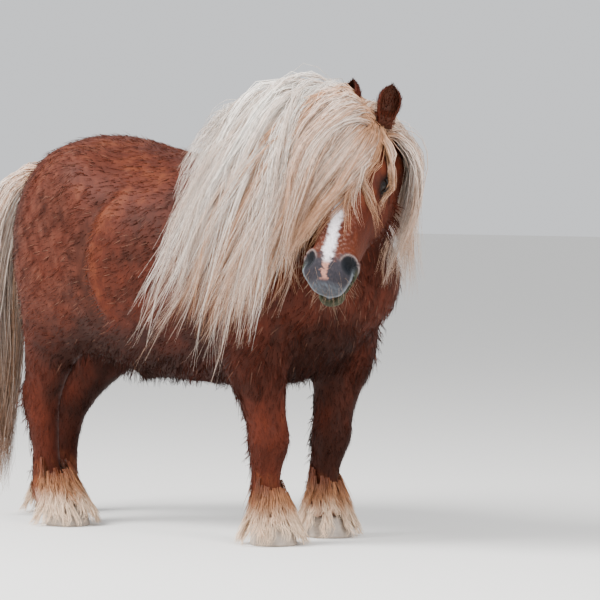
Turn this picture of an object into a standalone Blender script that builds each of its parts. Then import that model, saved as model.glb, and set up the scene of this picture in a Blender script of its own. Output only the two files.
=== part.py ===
"""A life-size Shetland pony stallion, standing, with its head turned to its right and its mane blown by the wind.

Metres, +X the way the body faces, +Y the pony's left, +Z up. The flesh, with its coat, is one blended solid form
that thin cuts part into head, neck, torso and legs. Eyes, ears and hooves are pieces of their own.
"""

import math

import bmesh
import bpy
import numpy as np
from mathutils import Matrix, Vector
from mathutils.kdtree import KDTree

# Driving sizes
GAP = 0.0003
# Points of a node nearer than this count as touching
TOUCH = 0.000004

# Where each hoof stands: forward of the middle, and left of the midline
HOOF_PLACES = {
    "fore_right": (0.385, -0.122),
    "fore_left": (0.331, 0.122),
    "hind_right": (-0.362, -0.122),
    "hind_left": (-0.668, 0.112),
}
# How far forward each leg's middle lies, from inside the body down to the top of the hoof
LEG_LINES = {
    "fore_right": (0.335, 0.344, 0.352, 0.360, 0.368, 0.374, 0.368, 0.361, 0.361, 0.364, 0.377, 0.382),
    "fore_left": (0.325, 0.336, 0.346, 0.343, 0.339, 0.335, 0.325, 0.315, 0.312, 0.315, 0.324, 0.329),
    "hind_right": (-0.330, -0.335, -0.362, -0.408, -0.440, -0.453, -0.449, -0.442, -0.440, -0.430, -0.395, -0.374),
    "hind_left": (-0.340, -0.360, -0.405, -0.488, -0.565, -0.606, -0.632, -0.647, -0.654, -0.660, -0.666, -0.668),
}
HOOF_HEIGHT = 0.052

# The head hangs from the poll: turn to the right, slope of the face from upright, and lean to one side
POLL = (0.661, -0.101, 1.019)
HEAD_TURN = math.radians(-60)
FACE_SLOPE = math.radians(25)
HEAD_LEAN = math.radians(8)

# Places on the head, from the poll: along the face, left of its midline, and out from the forehead
EYE_PLACE = (0.137, 0.067, -0.043)
EYE_RADIUS = 0.0185
EAR_PLACE = (-0.027, 0.046, -0.027)
EAR_LENGTH = 0.086
EAR_HALF_WIDTH = 0.026
NOSTRIL_PLACE = (0.356, 0.048, -0.038)

FAR = 1.0
BODY_VOXEL = 0.009
HEAD_VOXEL = 0.005

# Each material's name, colour and roughness, by how its objects' names begin
LOOKS = {
    "hoof": ("hoof_horn", (0.30, 0.27, 0.24), 0.55),
    "eye": ("eye_dark", (0.02, 0.012, 0.01), 0.08),
    "tail": ("flaxen_hair", (0.62, 0.50, 0.36), 0.65),
    "neck": ("flaxen_hair", (0.62, 0.50, 0.36), 0.65),
    "": ("chestnut_coat", (0.34, 0.13, 0.05), 0.8),
}


def unit(vector):
    """The vector at length 1, for one vector or for rows of them."""
    vector = np.asarray(vector, float)
    return vector / np.maximum(np.linalg.norm(vector, axis=-1, keepdims=True), 1e-12)


def smooth_least(a, b, blend):
    """The lesser of two distances, rounded over where they are within blend of each other."""
    h = np.maximum(blend - np.abs(a - b), 0) / blend
    return np.minimum(a, b) - h * h * blend / 4


def head_frame():
    """Head axes as columns: along the face to the muzzle, to its left, and out from the forehead."""
    level = np.array([math.cos(HEAD_TURN), math.sin(HEAD_TURN), 0.0])
    up = np.array([0.0, 0.0, 1.0])
    along = math.sin(FACE_SLOPE) * level - math.cos(FACE_SLOPE) * up
    out = math.cos(FACE_SLOPE) * level + math.sin(FACE_SLOPE) * up
    left = np.cross(out, along)
    leaned_along = math.cos(HEAD_LEAN) * along - math.sin(HEAD_LEAN) * left
    leaned_left = math.cos(HEAD_LEAN) * left + math.sin(HEAD_LEAN) * along
    return np.stack([leaned_along, leaned_left, out], axis=1)


HEAD_AXES = head_frame()


def on_head(place, side=1):
    """The world place of a point given from the poll along the head's own axes. Side -1 is the right."""
    local = np.array(place, float) * (1, side, 1)
    return np.array(POLL) + HEAD_AXES @ local


class Tube:
    """A bent bar of oval section. Stations hold x, y, z, half width along side, and half depth across it."""

    def __init__(self, stations, side, blend=0.02, cap=None, power=2.0, axes=None):
        stations = np.array(stations, float)
        side = np.array(side, float)
        if axes is not None:
            stations[:, :3] = np.array(POLL) + stations[:, :3] @ axes.T
            side = axes @ side
        self.rows = smooth_rows(stations, 4)
        self.side = side
        self.blend = blend
        self.power = power
        self.caps = self.rows[:, 3:].min(1)
        if cap is not None:
            steps = np.linalg.norm(np.diff(self.rows[:, :3], axis=0), axis=1)
            along = np.concatenate([[0], np.cumsum(steps)])
            self.caps = np.minimum(self.caps, cap + np.minimum(along, along[-1] - along))
        reach = self.rows[:, 3:].max() * 1.2
        self.low = self.rows[:, :3].min(0) - reach
        self.high = self.rows[:, :3].max(0) + reach

    def distance(self, points):
        found = np.full(len(points), FAR)
        for a, b, cap_a, cap_b in zip(self.rows[:-1], self.rows[1:], self.caps[:-1], self.caps[1:]):
            along = unit(b[:3] - a[:3])
            length = np.linalg.norm(b[:3] - a[:3])
            side = unit(self.side - along * (self.side @ along))
            deep = np.cross(along, side)
            reach = max(a[3:].max(), b[3:].max()) * 1.15 + self.blend + 0.01
            low = np.minimum(a[:3], b[:3]) - reach
            high = np.maximum(a[:3], b[:3]) + reach
            near = ((points > low) & (points < high)).all(1)
            if not near.any():
                continue
            offset = points[near] - a[:3]
            t = np.clip(offset @ along / length, 0, 1)
            offset = offset - np.outer(t * length, along)
            wide = a[3] + (b[3] - a[3]) * t
            thick = a[4] + (b[4] - a[4]) * t
            cap = cap_a + (cap_b - cap_a) * t
            p = self.power
            norm = (
                np.abs(offset @ side / wide) ** p
                + np.abs(offset @ deep / thick) ** p
                + np.abs(offset @ along / cap) ** p
            ) ** (1 / p)
            norm = np.maximum(norm, 1e-3)
            radial = np.linalg.norm(offset, axis=1)
            found[near] = np.minimum(found[near], radial - radial / norm)
        return found


class Oval:
    """A turned ellipsoid: centre, three half sizes, and its axes as columns."""

    def __init__(self, centre, half, axes=None, blend=0.03, head=None):
        self.centre = np.array(centre, float)
        self.axes = np.eye(3) if axes is None else np.array(axes, float)
        if head is not None:
            self.centre = np.array(POLL) + head @ self.centre
            self.axes = head @ self.axes
        self.half = np.array(half, float)
        self.blend = blend
        self.low = self.centre - self.half.max()
        self.high = self.centre + self.half.max()

    def distance(self, points):
        local = (points - self.centre) @ self.axes
        norm = np.maximum(np.linalg.norm(local / self.half, axis=1), 1e-3)
        radial = np.linalg.norm(local, axis=1)
        return radial - radial / norm


def smooth_rows(rows, fine):
    """Rows of numbers with so many steps between each pair, on a smooth curve through them all."""
    rows = np.asarray(rows, float)
    ends = np.vstack([2 * rows[0] - rows[1], rows, 2 * rows[-1] - rows[-2]])
    made = []
    for p0, p1, p2, p3 in zip(ends[:-3], ends[1:-2], ends[2:-1], ends[3:]):
        for t in np.arange(fine) / fine:
            made.append(
                0.5
                * (
                    2 * p1
                    + (p2 - p0) * t
                    + (2 * p0 - 5 * p1 + 4 * p2 - p3) * t**2
                    + (3 * p1 - p0 - 3 * p2 + p3) * t**3
                )
            )
    return np.array([*made, rows[-1]])


def turned(yaw=0.0, pitch=0.0, roll=0.0):
    """Axes as columns, turned by degrees about Z, then Y, then X."""
    turn = (
        Matrix.Rotation(math.radians(yaw), 3, "Z")
        @ Matrix.Rotation(math.radians(pitch), 3, "Y")
        @ Matrix.Rotation(math.radians(roll), 3, "X")
    )
    return np.array(turn)


def torso_shapes():
    """Barrel, chest, withers and croup, from the breast to the buttocks."""
    barrel = [
        (0.445, 0, 0.690, 0.150, 0.190),
        (0.350, 0, 0.688, 0.212, 0.280),
        (0.220, 0, 0.676, 0.240, 0.306),
        (0.060, 0, 0.660, 0.262, 0.286),
        (-0.080, 0, 0.667, 0.272, 0.288),
        (-0.200, 0, 0.694, 0.262, 0.282),
        (-0.330, 0, 0.745, 0.240, 0.253),
        (-0.425, 0, 0.778, 0.196, 0.203),
        (-0.475, 0, 0.792, 0.140, 0.158),
    ]
    shapes = [Tube(barrel, (0, 1, 0), cap=0.075, power=2.25)]
    shapes.append(Oval((0.15, 0, 0.88), (0.13, 0.07, 0.090), blend=0.06))
    shapes.append(Oval((0.43, 0, 0.60), (0.10, 0.14, 0.13), blend=0.05))
    for side in (-1, 1):
        shapes.append(Oval((0.32, side * 0.150, 0.72), (0.135, 0.100, 0.22), turned(pitch=18), 0.05))
        shapes.append(Oval((0.440, side * 0.115, 0.64), (0.105, 0.115, 0.130), blend=0.05))
        shapes.append(Oval((-0.26, side * 0.165, 0.84), (0.11, 0.075, 0.11), blend=0.06))
        shapes.append(Oval((-0.395, side * 0.105, 0.75), (0.135, 0.105, 0.20), turned(pitch=8), 0.05))
    shapes.append(Oval((-0.18, 0, 0.410), (0.060, 0.030, 0.034), blend=0.03))
    dock = [(-0.50, 0, 0.905, 0.050, 0.045), (-0.575, 0, 0.900, 0.036, 0.036), (-0.625, 0, 0.850, 0.026, 0.028)]
    shapes.append(Tube(dock, (0, 1, 0), blend=0.03))
    return shapes


def fore_leg_shapes(name):
    """Forearm, knee, cannon, fetlock and pastern of one fore leg."""
    side = 1 if name.endswith("left") else -1
    rows = [
        (0.000, side * 0.128, 0.660, 0.070, 0.090),
        (0.000, side * 0.150, 0.560, 0.094, 0.112),
        (0.000, side * 0.154, 0.460, 0.084, 0.096),
        (0.000, side * 0.138, 0.370, 0.062, 0.068),
        (0.000, side * 0.130, 0.305, 0.052, 0.055),
        (0.000, side * 0.127, 0.255, 0.053, 0.057),
        (0.000, side * 0.126, 0.212, 0.045, 0.048),
        (0.000, side * 0.125, 0.165, 0.038, 0.043),
        (0.000, side * 0.124, 0.120, 0.039, 0.046),
        (0.000, side * 0.123, 0.094, 0.045, 0.053),
        (0.000, side * 0.122, 0.064, 0.045, 0.048),
        (0.000, side * 0.122, 0.052, 0.046, 0.047),
    ]
    rows = [(x, *row[1:]) for x, row in zip(LEG_LINES[name], rows)]
    return [Tube(rows, (0, 1, 0), blend=0.035, cap=0.012)]


def hind_leg_shapes(name):
    """Thigh, gaskin, hock, cannon, fetlock and pastern of one hind leg."""
    side = 1 if name.endswith("left") else -1
    rows = [
        (0.000, side * 0.115, 0.740, 0.080, 0.110),
        (0.000, side * 0.140, 0.640, 0.105, 0.165),
        (0.000, side * 0.146, 0.540, 0.088, 0.132),
        (0.000, side * 0.140, 0.440, 0.064, 0.086),
        (0.000, side * 0.132, 0.360, 0.048, 0.064),
        (0.000, side * 0.129, 0.315, 0.045, 0.060),
        (0.000, side * 0.127, 0.262, 0.041, 0.049),
        (0.000, side * 0.125, 0.190, 0.037, 0.042),
        (0.000, side * 0.123, 0.130, 0.039, 0.046),
        (0.000, side * 0.122, 0.096, 0.045, 0.053),
        (0.000, side * 0.121, 0.064, 0.045, 0.049),
        (0.000, side * 0.120, 0.052, 0.046, 0.047),
    ]
    rows = [(x, *row[1:]) for x, row in zip(LEG_LINES[name], rows)]
    hock = np.array(rows[5][:3])
    stifle = (rows[2][0] + 0.105, side * 0.152, 0.545)
    return [
        Tube(rows, (0, 1, 0), blend=0.045, cap=0.012),
        Oval(hock + (-0.040, 0, 0.022), (0.026, 0.023, 0.042), turned(pitch=-14), 0.025),
        Oval(stifle, (0.070, 0.070, 0.095), blend=0.05),
    ]


def neck_shapes():
    """A deep, crested neck, bent to the right where it meets the turned head."""
    rows = [
        (0.250, 0.000, 0.800, 0.150, 0.190),
        (0.370, 0.006, 0.850, 0.138, 0.205),
        (0.470, 0.016, 0.890, 0.116, 0.175),
        (0.545, 0.016, 0.918, 0.098, 0.140),
        (0.592, -0.006, 0.935, 0.082, 0.108),
        (0.618, -0.038, 0.940, 0.070, 0.088),
    ]
    crest = [
        (0.200, 0.000, 0.930, 0.060, 0.065),
        (0.310, 0.003, 0.990, 0.054, 0.060),
        (0.420, 0.010, 1.026, 0.050, 0.054),
        (0.520, 0.012, 1.026, 0.044, 0.046),
        (0.590, -0.014, 1.008, 0.038, 0.040),
        (0.632, -0.058, 0.994, 0.036, 0.034),
    ]
    return [
        Tube(rows, (0, 1, 0), blend=0.06),
        Tube(crest, (0, 1, 0), blend=0.05),
    ]


def head_shapes():
    """Skull, cheeks, nose and muzzle along the face, before the openings are cut."""
    skull = [
        (0.015, 0, -0.070, 0.058, 0.062),
        (0.070, 0, -0.075, 0.074, 0.080),
        (0.135, 0, -0.078, 0.082, 0.090),
        (0.195, 0, -0.074, 0.072, 0.082),
        (0.255, 0, -0.068, 0.060, 0.070),
        (0.310, 0, -0.068, 0.055, 0.059),
        (0.355, 0, -0.071, 0.056, 0.052),
        (0.390, 0, -0.075, 0.050, 0.045),
    ]
    shapes = [Tube(skull, (0, 1, 0), 0.02, cap=0.034, power=2.3, axes=HEAD_AXES)]
    for side in (-1, 1):
        jaw = [
            (0.055, side * 0.052, -0.130, 0.022, 0.060),
            (0.140, side * 0.050, -0.152, 0.024, 0.056),
            (0.205, side * 0.042, -0.140, 0.022, 0.044),
            (0.270, side * 0.029, -0.120, 0.019, 0.026),
            (0.340, side * 0.018, -0.112, 0.018, 0.020),
        ]
        shapes += [
            Tube(jaw, (0, 1, 0), 0.028, axes=HEAD_AXES),
            Oval((0.150, side * 0.050, -0.125), (0.085, 0.033, 0.078), blend=0.025, head=HEAD_AXES),
            Oval((0.132, side * 0.062, -0.028), (0.044, 0.017, 0.018), turned(yaw=side * -8), 0.03, HEAD_AXES),
            Oval((0.354, side * 0.043, -0.052), (0.036, 0.023, 0.029), turned(yaw=side * 12), 0.026, HEAD_AXES),
        ]
    return shapes + [
        Oval((0.396, 0, -0.074), (0.031, 0.045, 0.036), turned(pitch=-12), 0.014, HEAD_AXES),
        Oval((0.400, 0, -0.118), (0.028, 0.037, 0.021), turned(pitch=-10), 0.010, HEAD_AXES),
        Oval((0.368, 0, -0.130), (0.030, 0.030, 0.022), blend=0.014, head=HEAD_AXES),
        Oval((0.050, 0, -0.135), (0.075, 0.056, 0.070), blend=0.04, head=HEAD_AXES),
    ]


def trunk_shapes():
    shapes = torso_shapes()
    for name in HOOF_PLACES:
        shapes += fore_leg_shapes(name) if name.startswith("fore") else hind_leg_shapes(name)
    return shapes + neck_shapes()


HEAD_SHAPES = head_shapes()
SHAPES = trunk_shapes() + HEAD_SHAPES


def flesh(points, shapes=None):
    """Distance out from the coat's surface at each point, less than 0 inside it."""
    found = np.full(len(points), FAR)
    for shape in SHAPES if shapes is None else shapes:
        reach = shape.blend + 0.03
        near = ((points > shape.low - reach) & (points < shape.high + reach)).all(1)
        if near.any():
            found[near] = smooth_least(found[near], shape.distance(points[near]), shape.blend)
    return found


def outward(points, distance=flesh, step=0.001):
    """The way out from the surface at each point, at length 1 where the distance is true."""
    made = np.empty_like(points)
    for axis in range(3):
        shift = np.zeros(3)
        shift[axis] = step
        made[:, axis] = (distance(points + shift) - distance(points - shift)) / (2 * step)
    return made


def grid_field(low, high, voxel, distance):
    """Distances on a grid, worked out only near the surface, and far values of the right sign elsewhere."""
    coarse = 4
    cells = np.ceil((np.array(high) - low) / (voxel * coarse)).astype(int)
    nodes = np.stack(np.meshgrid(*[np.arange(n + 1) for n in cells], indexing="ij"), -1)
    rough = distance(low + nodes.reshape(-1, 3) * voxel * coarse).reshape(nodes.shape[:3])
    near = np.abs(rough) < 2.2 * voxel * coarse
    fine_near = near.repeat(coarse, 0).repeat(coarse, 1).repeat(coarse, 2)
    field = rough.repeat(coarse, 0).repeat(coarse, 1).repeat(coarse, 2)
    places = np.argwhere(fine_near)
    field[fine_near] = distance(low + places * voxel)
    return field


def surface_net(field, low, voxel):
    """Points and quads of the surface where the field is 0, one point for each cell that it crosses."""
    inside = field < 0
    size = np.array(field.shape) - 1
    count = np.zeros(size, np.int8)
    for i in (0, 1):
        for j in (0, 1):
            for k in (0, 1):
                count += inside[i : size[0] + i, j : size[1] + j, k : size[2] + k]
    cells = np.argwhere((count > 0) & (count < 8))
    index = np.full(size, -1)
    index[tuple(cells.T)] = np.arange(len(cells))
    total, hits = np.zeros((len(cells), 3)), np.zeros(len(cells))
    quads = []
    for axis in range(3):
        b, c = np.eye(3, dtype=int)[(axis + 1) % 3], np.eye(3, dtype=int)[(axis + 2) % 3]
        step = np.eye(3, dtype=int)[axis]
        for i in (0, 1):
            for j in (0, 1):
                start = cells + i * b + j * c
                first, last = field[tuple(start.T)], field[tuple((start + step).T)]
                cross = (first < 0) != (last < 0)
                t = first[cross] / (first[cross] - last[cross])
                total[cross] += i * b + j * c + t[:, None] * step
                hits[cross] += 1
        lower = np.take(inside, range(size[axis]), axis)
        upper = np.take(inside, range(1, size[axis] + 1), axis)
        edges = np.argwhere(lower != upper)
        other = [(axis + 1) % 3, (axis + 2) % 3]
        edges = edges[(edges[:, other] > 0).all(1) & (edges[:, other] < size[other]).all(1)]
        quad = np.stack([index[tuple((edges - s).T)] for s in (0 * b, b, b + c, c)], 1)
        flip = ~inside[tuple(edges.T)]
        quad[flip] = quad[flip, ::-1]
        quads.append(quad)
    points = low + (cells + total / hits[:, None]) * voxel
    return points, np.vstack(quads)


def onto_surface(points, rounds=3):
    """Points moved along the way out until they lie on the surface."""
    points = points.copy()
    for _ in range(rounds):
        slope = outward(points)
        away = flesh(points)
        share = np.where(np.abs(away) < 0.02, away, 0) / np.maximum((slope**2).sum(1), 0.2)
        points -= np.clip(share, -0.004, 0.004)[:, None] * slope
    return points


def mesh_object(name, points, faces):
    """A new object in the scene from points and faces."""
    mesh = bpy.data.meshes.new(name)
    mesh.from_pydata([tuple(map(float, point)) for point in points], [], [tuple(map(int, face)) for face in faces])
    made = bpy.data.objects.new(name, mesh)
    bpy.context.scene.collection.objects.link(made)
    return made


def applied(made):
    """The object with its modifiers worked into its mesh."""
    graph = bpy.context.evaluated_depsgraph_get()
    mesh = bpy.data.meshes.new_from_object(made.evaluated_get(graph))
    made.modifiers.clear()
    made.data = mesh
    return made


def thinned(made, triangles):
    """The object brought down to about so many triangles."""
    modifier = made.modifiers.new("thinned", "DECIMATE")
    modifier.ratio = min(1.0, triangles / sum(len(face.vertices) - 2 for face in made.data.polygons))
    return applied(made)


def copied(made, name):
    twin = bpy.data.objects.new(name, made.data.copy())
    bpy.context.scene.collection.objects.link(twin)
    return twin


def joined_with(made, tools, operation, solver="EXACT"):
    """The object after one Boolean with every tool at once, which are then removed."""
    group = bpy.data.collections.new("tools")
    for tool in tools:
        group.objects.link(tool)
    modifier = made.modifiers.new("tools", "BOOLEAN")
    modifier.operand_type = "COLLECTION"
    modifier.collection = group
    modifier.operation = operation
    modifier.solver = solver
    applied(made)
    for tool in tools:
        bpy.data.objects.remove(tool)
    bpy.data.collections.remove(group)
    return made


def swollen(made):
    """A copy of a node that is larger all round by the gap, to cut hair clear of it."""
    twin = copied(made, "swollen")
    modifier = twin.modifiers.new("swollen", "DISPLACE")
    modifier.strength = GAP
    modifier.mid_level = 0
    return applied(twin)


def haired(made, hair, others):
    """The node with its locks fused on, and the locks cut clear of the nodes round it."""
    joined_with(hair[0], hair[1:], "UNION", "MANIFOLD")
    joined_with(hair[0], [swollen(other) for other in others], "DIFFERENCE", "MANIFOLD")
    joined_with(made, hair[:1], "UNION", "MANIFOLD")
    return parted(largest_piece(made))


def parted(made):
    """The object with places where two of its sheets meet at a point drawn a hair's breadth apart."""
    form = bmesh.new()
    form.from_mesh(made.data)
    tree = KDTree(len(form.verts))
    for index, vert in enumerate(form.verts):
        tree.insert(vert.co, index)
    tree.balance()
    moves = {}
    for vert in form.verts:
        if len(tree.find_range(vert.co, TOUCH)) > 1:
            around = [edge.other_vert(vert).co for edge in vert.link_edges]
            way = sum(around, Vector()) / len(around) - vert.co
            moves[vert] = way * min(0.2, GAP / max(way.length, GAP))
    for vert, move in moves.items():
        vert.co += move
    form.to_mesh(made.data)
    form.free()
    return made


def largest_piece(made):
    """The object with only its biggest closed surface kept."""
    form = bmesh.new()
    form.from_mesh(made.data)
    left, groups = set(form.faces), []
    while left:
        group, edge = [], [left.pop()]
        while edge:
            face = edge.pop()
            group.append(face)
            beside = {other for side in face.edges for other in side.link_faces} & left
            left -= beside
            edge += beside
        groups.append(group)
    groups.sort(key=len)
    for group in groups[:-1]:
        bmesh.ops.delete(form, geom=group, context="FACES")
    form.to_mesh(made.data)
    form.free()
    return made


def grown(outline, amount):
    """A counterclockwise outline with every edge moved outward."""
    outline = np.array(outline, float)
    edges = unit(np.roll(outline, -1, 0) - outline)
    after = np.stack([edges[:, 1], -edges[:, 0]], 1)
    before = np.roll(after, 1, 0)
    return outline + amount * (before + after) / (1 + (before * after).sum(1, keepdims=True))


def prism(outline, low, high, amount=0.0, axes=None, origin=(0, 0, 0)):
    """A closed block with an outline over its first and third axes, from low to high along the second."""
    ring = grown(outline, amount)
    count = len(ring)
    points = [(x, y, z) for y in (low - amount, high + amount) for x, z in ring]
    faces = [tuple(range(count)), tuple(reversed(range(count, 2 * count)))]
    faces += [((i + 1) % count, i, i + count, (i + 1) % count + count) for i in range(count)]
    axes = np.eye(3) if axes is None else axes
    return mesh_object("prism", np.array(origin) + np.array(points) @ axes.T, faces)


def rings_object(name, rings, closed=False):
    """A skin over rings of the same number of points. Closed joins the last ring to the first."""
    rings = np.array(rings, float)
    rows, count = rings.shape[:2]
    faces = []
    for r in range(rows if closed else rows - 1):
        here, there = r * count, (r + 1) % rows * count
        faces += [(here + i, here + (i + 1) % count, there + (i + 1) % count, there + i) for i in range(count)]
    if not closed:
        faces += [tuple(reversed(range(count))), tuple(range((rows - 1) * count, rows * count))]
    made = mesh_object(name, rings.reshape(-1, 3), faces)
    turn_outward(made)
    return made


def turn_outward(made):
    form = bmesh.new()
    form.from_mesh(made.data)
    bmesh.ops.recalc_face_normals(form, faces=form.faces)
    if form.calc_volume(signed=True) < 0:
        bmesh.ops.reverse_faces(form, faces=form.faces)
    form.to_mesh(made.data)
    form.free()


HEAD_OUTLINE = [(0.50, -0.158), (0.50, 0.20), (-0.08, 0.20), (-0.08, 0.010), (0.130, -0.215), (0.33, -0.158)]
NECK_OUTLINE = [(1.0, 0.56), (1.0, 1.30), (0.150, 1.30), (0.185, 0.960), (0.300, 0.800), (0.450, 0.640)]
FORE_OUTLINE = [(0.200, -0.1), (0.480, -0.1), (0.500, 0.400), (0.440, 0.480), (0.240, 0.450), (0.200, 0.400)]
HIND_OUTLINE = [(-0.80, -0.1), (-0.250, -0.1), (-0.240, 0.440), (-0.300, 0.560), (-0.520, 0.600), (-0.66, 0.55)]
TAIL_OUTLINE = [(-0.90, 0.780), (-0.572, 0.780), (-0.572, 1.10), (-0.90, 1.10)]


def leg_prism(name, amount=0.0):
    outline = FORE_OUTLINE if name.startswith("fore") else HIND_OUTLINE
    low, high = (0.035, 0.40) if name.endswith("left") else (-0.40, -0.035)
    return prism(outline, low, high, amount)


def head_prism(amount=0.0):
    return prism(HEAD_OUTLINE, -0.11, 0.12, amount, HEAD_AXES, POLL)


def shared_by_two(quads):
    """Whether every edge of the quads has exactly two of them."""
    edges = np.sort(np.concatenate([quads[:, [i, (i + 1) % 4]] for i in range(4)]), 1)
    return (np.unique(edges, axis=0, return_counts=True)[1] == 2).all()


def netted(name, low, high, voxel, triangles):
    """The flesh within a box as a closed mesh of about so many triangles."""
    for turn in range(9):
        start = np.array(low) - voxel * 0.11 * turn
        field = grid_field(start, high, voxel, flesh)
        for axis in range(3):
            for end in (0, -1):
                edge = np.moveaxis(field, axis, 0)[end]
                edge[edge < 0] = voxel
        points, quads = surface_net(field, start, voxel)
        if shared_by_two(quads):
            break
    return thinned(mesh_object(name, onto_surface(points), quads), triangles)


def body_nodes():
    """Neck, torso, tail root and legs, parted from one closed form by thin gaps."""
    body = netted("body", (-0.76, -0.36, -0.02), (0.84, 0.36, 1.16), BODY_VOXEL, 3700)
    neck = copied(body, "neck")
    joined_with(neck, [prism(NECK_OUTLINE, -0.5, 0.5)], "INTERSECT")
    joined_with(neck, [head_prism(GAP)], "DIFFERENCE")
    tail = copied(body, "tail")
    joined_with(tail, [prism(TAIL_OUTLINE, -0.08, 0.08)], "INTERSECT")
    legs = {}
    for name in HOOF_PLACES:
        leg = copied(body, name.replace("_", "_leg_", 1))
        joined_with(leg, [leg_prism(name)], "INTERSECT")
        foot = HOOF_PLACES[name]
        floor = [(foot[0] - 0.2, -0.2), (foot[0] + 0.2, -0.2), (foot[0] + 0.2, HOOF_HEIGHT), (foot[0] - 0.2, HOOF_HEIGHT)]
        joined_with(leg, [prism(floor, -0.4, 0.4)], "DIFFERENCE")
        legs[name] = largest_piece(leg)
    away = [prism(NECK_OUTLINE, -0.5, 0.5, GAP), prism(TAIL_OUTLINE, -0.08, 0.08, GAP)]
    body.name = "torso"
    joined_with(body, away + [leg_prism(name, GAP) for name in HOOF_PLACES], "DIFFERENCE")
    return largest_piece(body), largest_piece(neck), largest_piece(tail), legs


def hoof(name):
    """A hoof that widens to its flat sole, its toe a little ahead of its top."""
    x, y = HOOF_PLACES[name]
    rows = [
        (0.000, 0.054, 0.000),
        (0.004, 0.0575, 0.000),
        (0.020, 0.0545, -0.002),
        (0.040, 0.0505, -0.005),
        (0.0490, 0.0480, -0.006),
        (HOOF_HEIGHT - GAP, 0.0440, -0.006),
    ]
    rings = []
    for z, radius, shift in rows:
        turns = np.arange(16) / 16 * 2 * math.pi
        rings.append([(x + shift + radius * 1.05 * math.cos(t), y + radius * 0.95 * math.sin(t), z) for t in turns])
    return rings_object("hoof_" + name, rings)


def ear_frame(side):
    """Base, axis, way across and way the cup opens, of the ear on one side."""
    axis = unit(HEAD_AXES @ (-0.88, side * 0.10, 0.40))
    opening = HEAD_AXES @ np.array((0.30, side * 0.50, 0.80))
    opening = unit(opening - axis * (axis @ opening))
    return on_head(EAR_PLACE, side), axis, np.cross(opening, axis), opening


def ear_ring(t, side, width=1.0, count=7):
    """One level of an ear as a crescent, its back outside and its cup inside. t runs from base to tip."""
    base, axis, across, opening = ear_frame(side)
    half = EAR_HALF_WIDTH * width * (0.80 + 0.95 * t - 0.20 * t**2 - 1.50 * t**4)
    half = max(half, 0.003)
    deep = half * (0.95 - 0.35 * t)
    wall = min(0.0045 * (1 - 0.5 * t), half * 0.4)
    hollow = min(1.0, max(0.0, (t - 0.04) / 0.16))
    turns = np.linspace(-2.0, 2.0, count)
    back = [(math.sin(a) * half, -math.cos(a) * deep) for a in turns]
    chord = 0.9 * (half - wall)
    cup = []
    for a in turns:
        across_cup = math.sin(a) * (half - wall) * hollow + a / 2.0 * chord * (1 - hollow)
        cup.append((across_cup, -math.cos(a) * (deep - wall) * hollow + (1 - hollow) * deep * 0.35))
    middle = base + axis * EAR_LENGTH * t - opening * 0.012 * t**2
    return [middle + across * x + opening * y for x, y in back + cup[::-1]]


def ear(name, side):
    rings = [ear_ring(t, side) for t in (0.0, 0.05, 0.12, 0.22, 0.38, 0.56, 0.74, 0.88, 1.0)]
    return rings_object(name, rings)


def ear_root(side):
    """The head's part of an ear, from inside the skull up to the ear's flat base."""
    base, axis, _, _ = ear_frame(side)
    ring = np.array(ear_ring(0.0, side))
    rings = [base + (ring - base) * 1.25 - axis * 0.045, base + (ring - base) * 1.08 - axis * 0.012, ring - axis * GAP]
    return rings_object("ear root", rings)


def ball(name, centre, radius, parts=3, half=(1, 1, 1), axes=None):
    form = bmesh.new()
    bmesh.ops.create_icosphere(form, subdivisions=parts, radius=radius)
    mesh = bpy.data.meshes.new(name)
    form.to_mesh(mesh)
    form.free()
    made = bpy.data.objects.new(name, mesh)
    bpy.context.scene.collection.objects.link(made)
    turn = np.eye(3) if axes is None else np.array(axes, float)
    for vert in mesh.vertices:
        vert.co = Vector(np.array(centre) + turn @ (np.array(vert.co) * half))
    return made


def eye_frame(side):
    """Centre of one eye, and its axes: along the slit to the muzzle, up across it, and out."""
    out = unit(HEAD_AXES @ (0.02, side * 0.84, 0.50))
    slit = HEAD_AXES @ np.array((1.0, 0, -0.25))
    slit = unit(slit - out * (out @ slit))
    return on_head(EYE_PLACE, side), slit, np.cross(out, slit) * side, out


def bar(name, line, across, wide, thick):
    """A flat bar of diamond section along a line, with half widths and half thicknesses for its points."""
    line, across = np.array(line, float), np.array(across, float)
    ways = unit(np.gradient(line, axis=0))
    across = unit(across - ways * (across * ways).sum(1, keepdims=True))
    out = np.cross(ways, across)
    rings = [
        [p + a * w, p + o * t, p - a * w, p - o * t] for p, a, o, w, t in zip(line, across, out, wide, thick)
    ]
    return rings_object(name, rings)


def lid(side, lift, drop):
    """One eyelid as a bent bar round the eyeball from corner to corner."""
    centre, slit, up, out = eye_frame(side)
    line, across = [], []
    for turn in np.radians(np.linspace(-82, 82, 8)):
        rise = math.radians(lift) * math.cos(turn)
        way = unit(slit * math.sin(turn) + math.cos(turn) * (out * math.cos(rise) + up * math.sin(rise)))
        line.append(centre + way * (EYE_RADIUS + 0.0042) - out * drop)
        across.append(np.cross(way, slit * math.cos(turn) - out * math.sin(turn)))
    wide = np.array([2.0, 4.5, 6.0, 6.5, 6.5, 6.0, 4.5, 2.0]) / 1000
    return bar("lid", line, across, wide, [0.0032] * 8)


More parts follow.
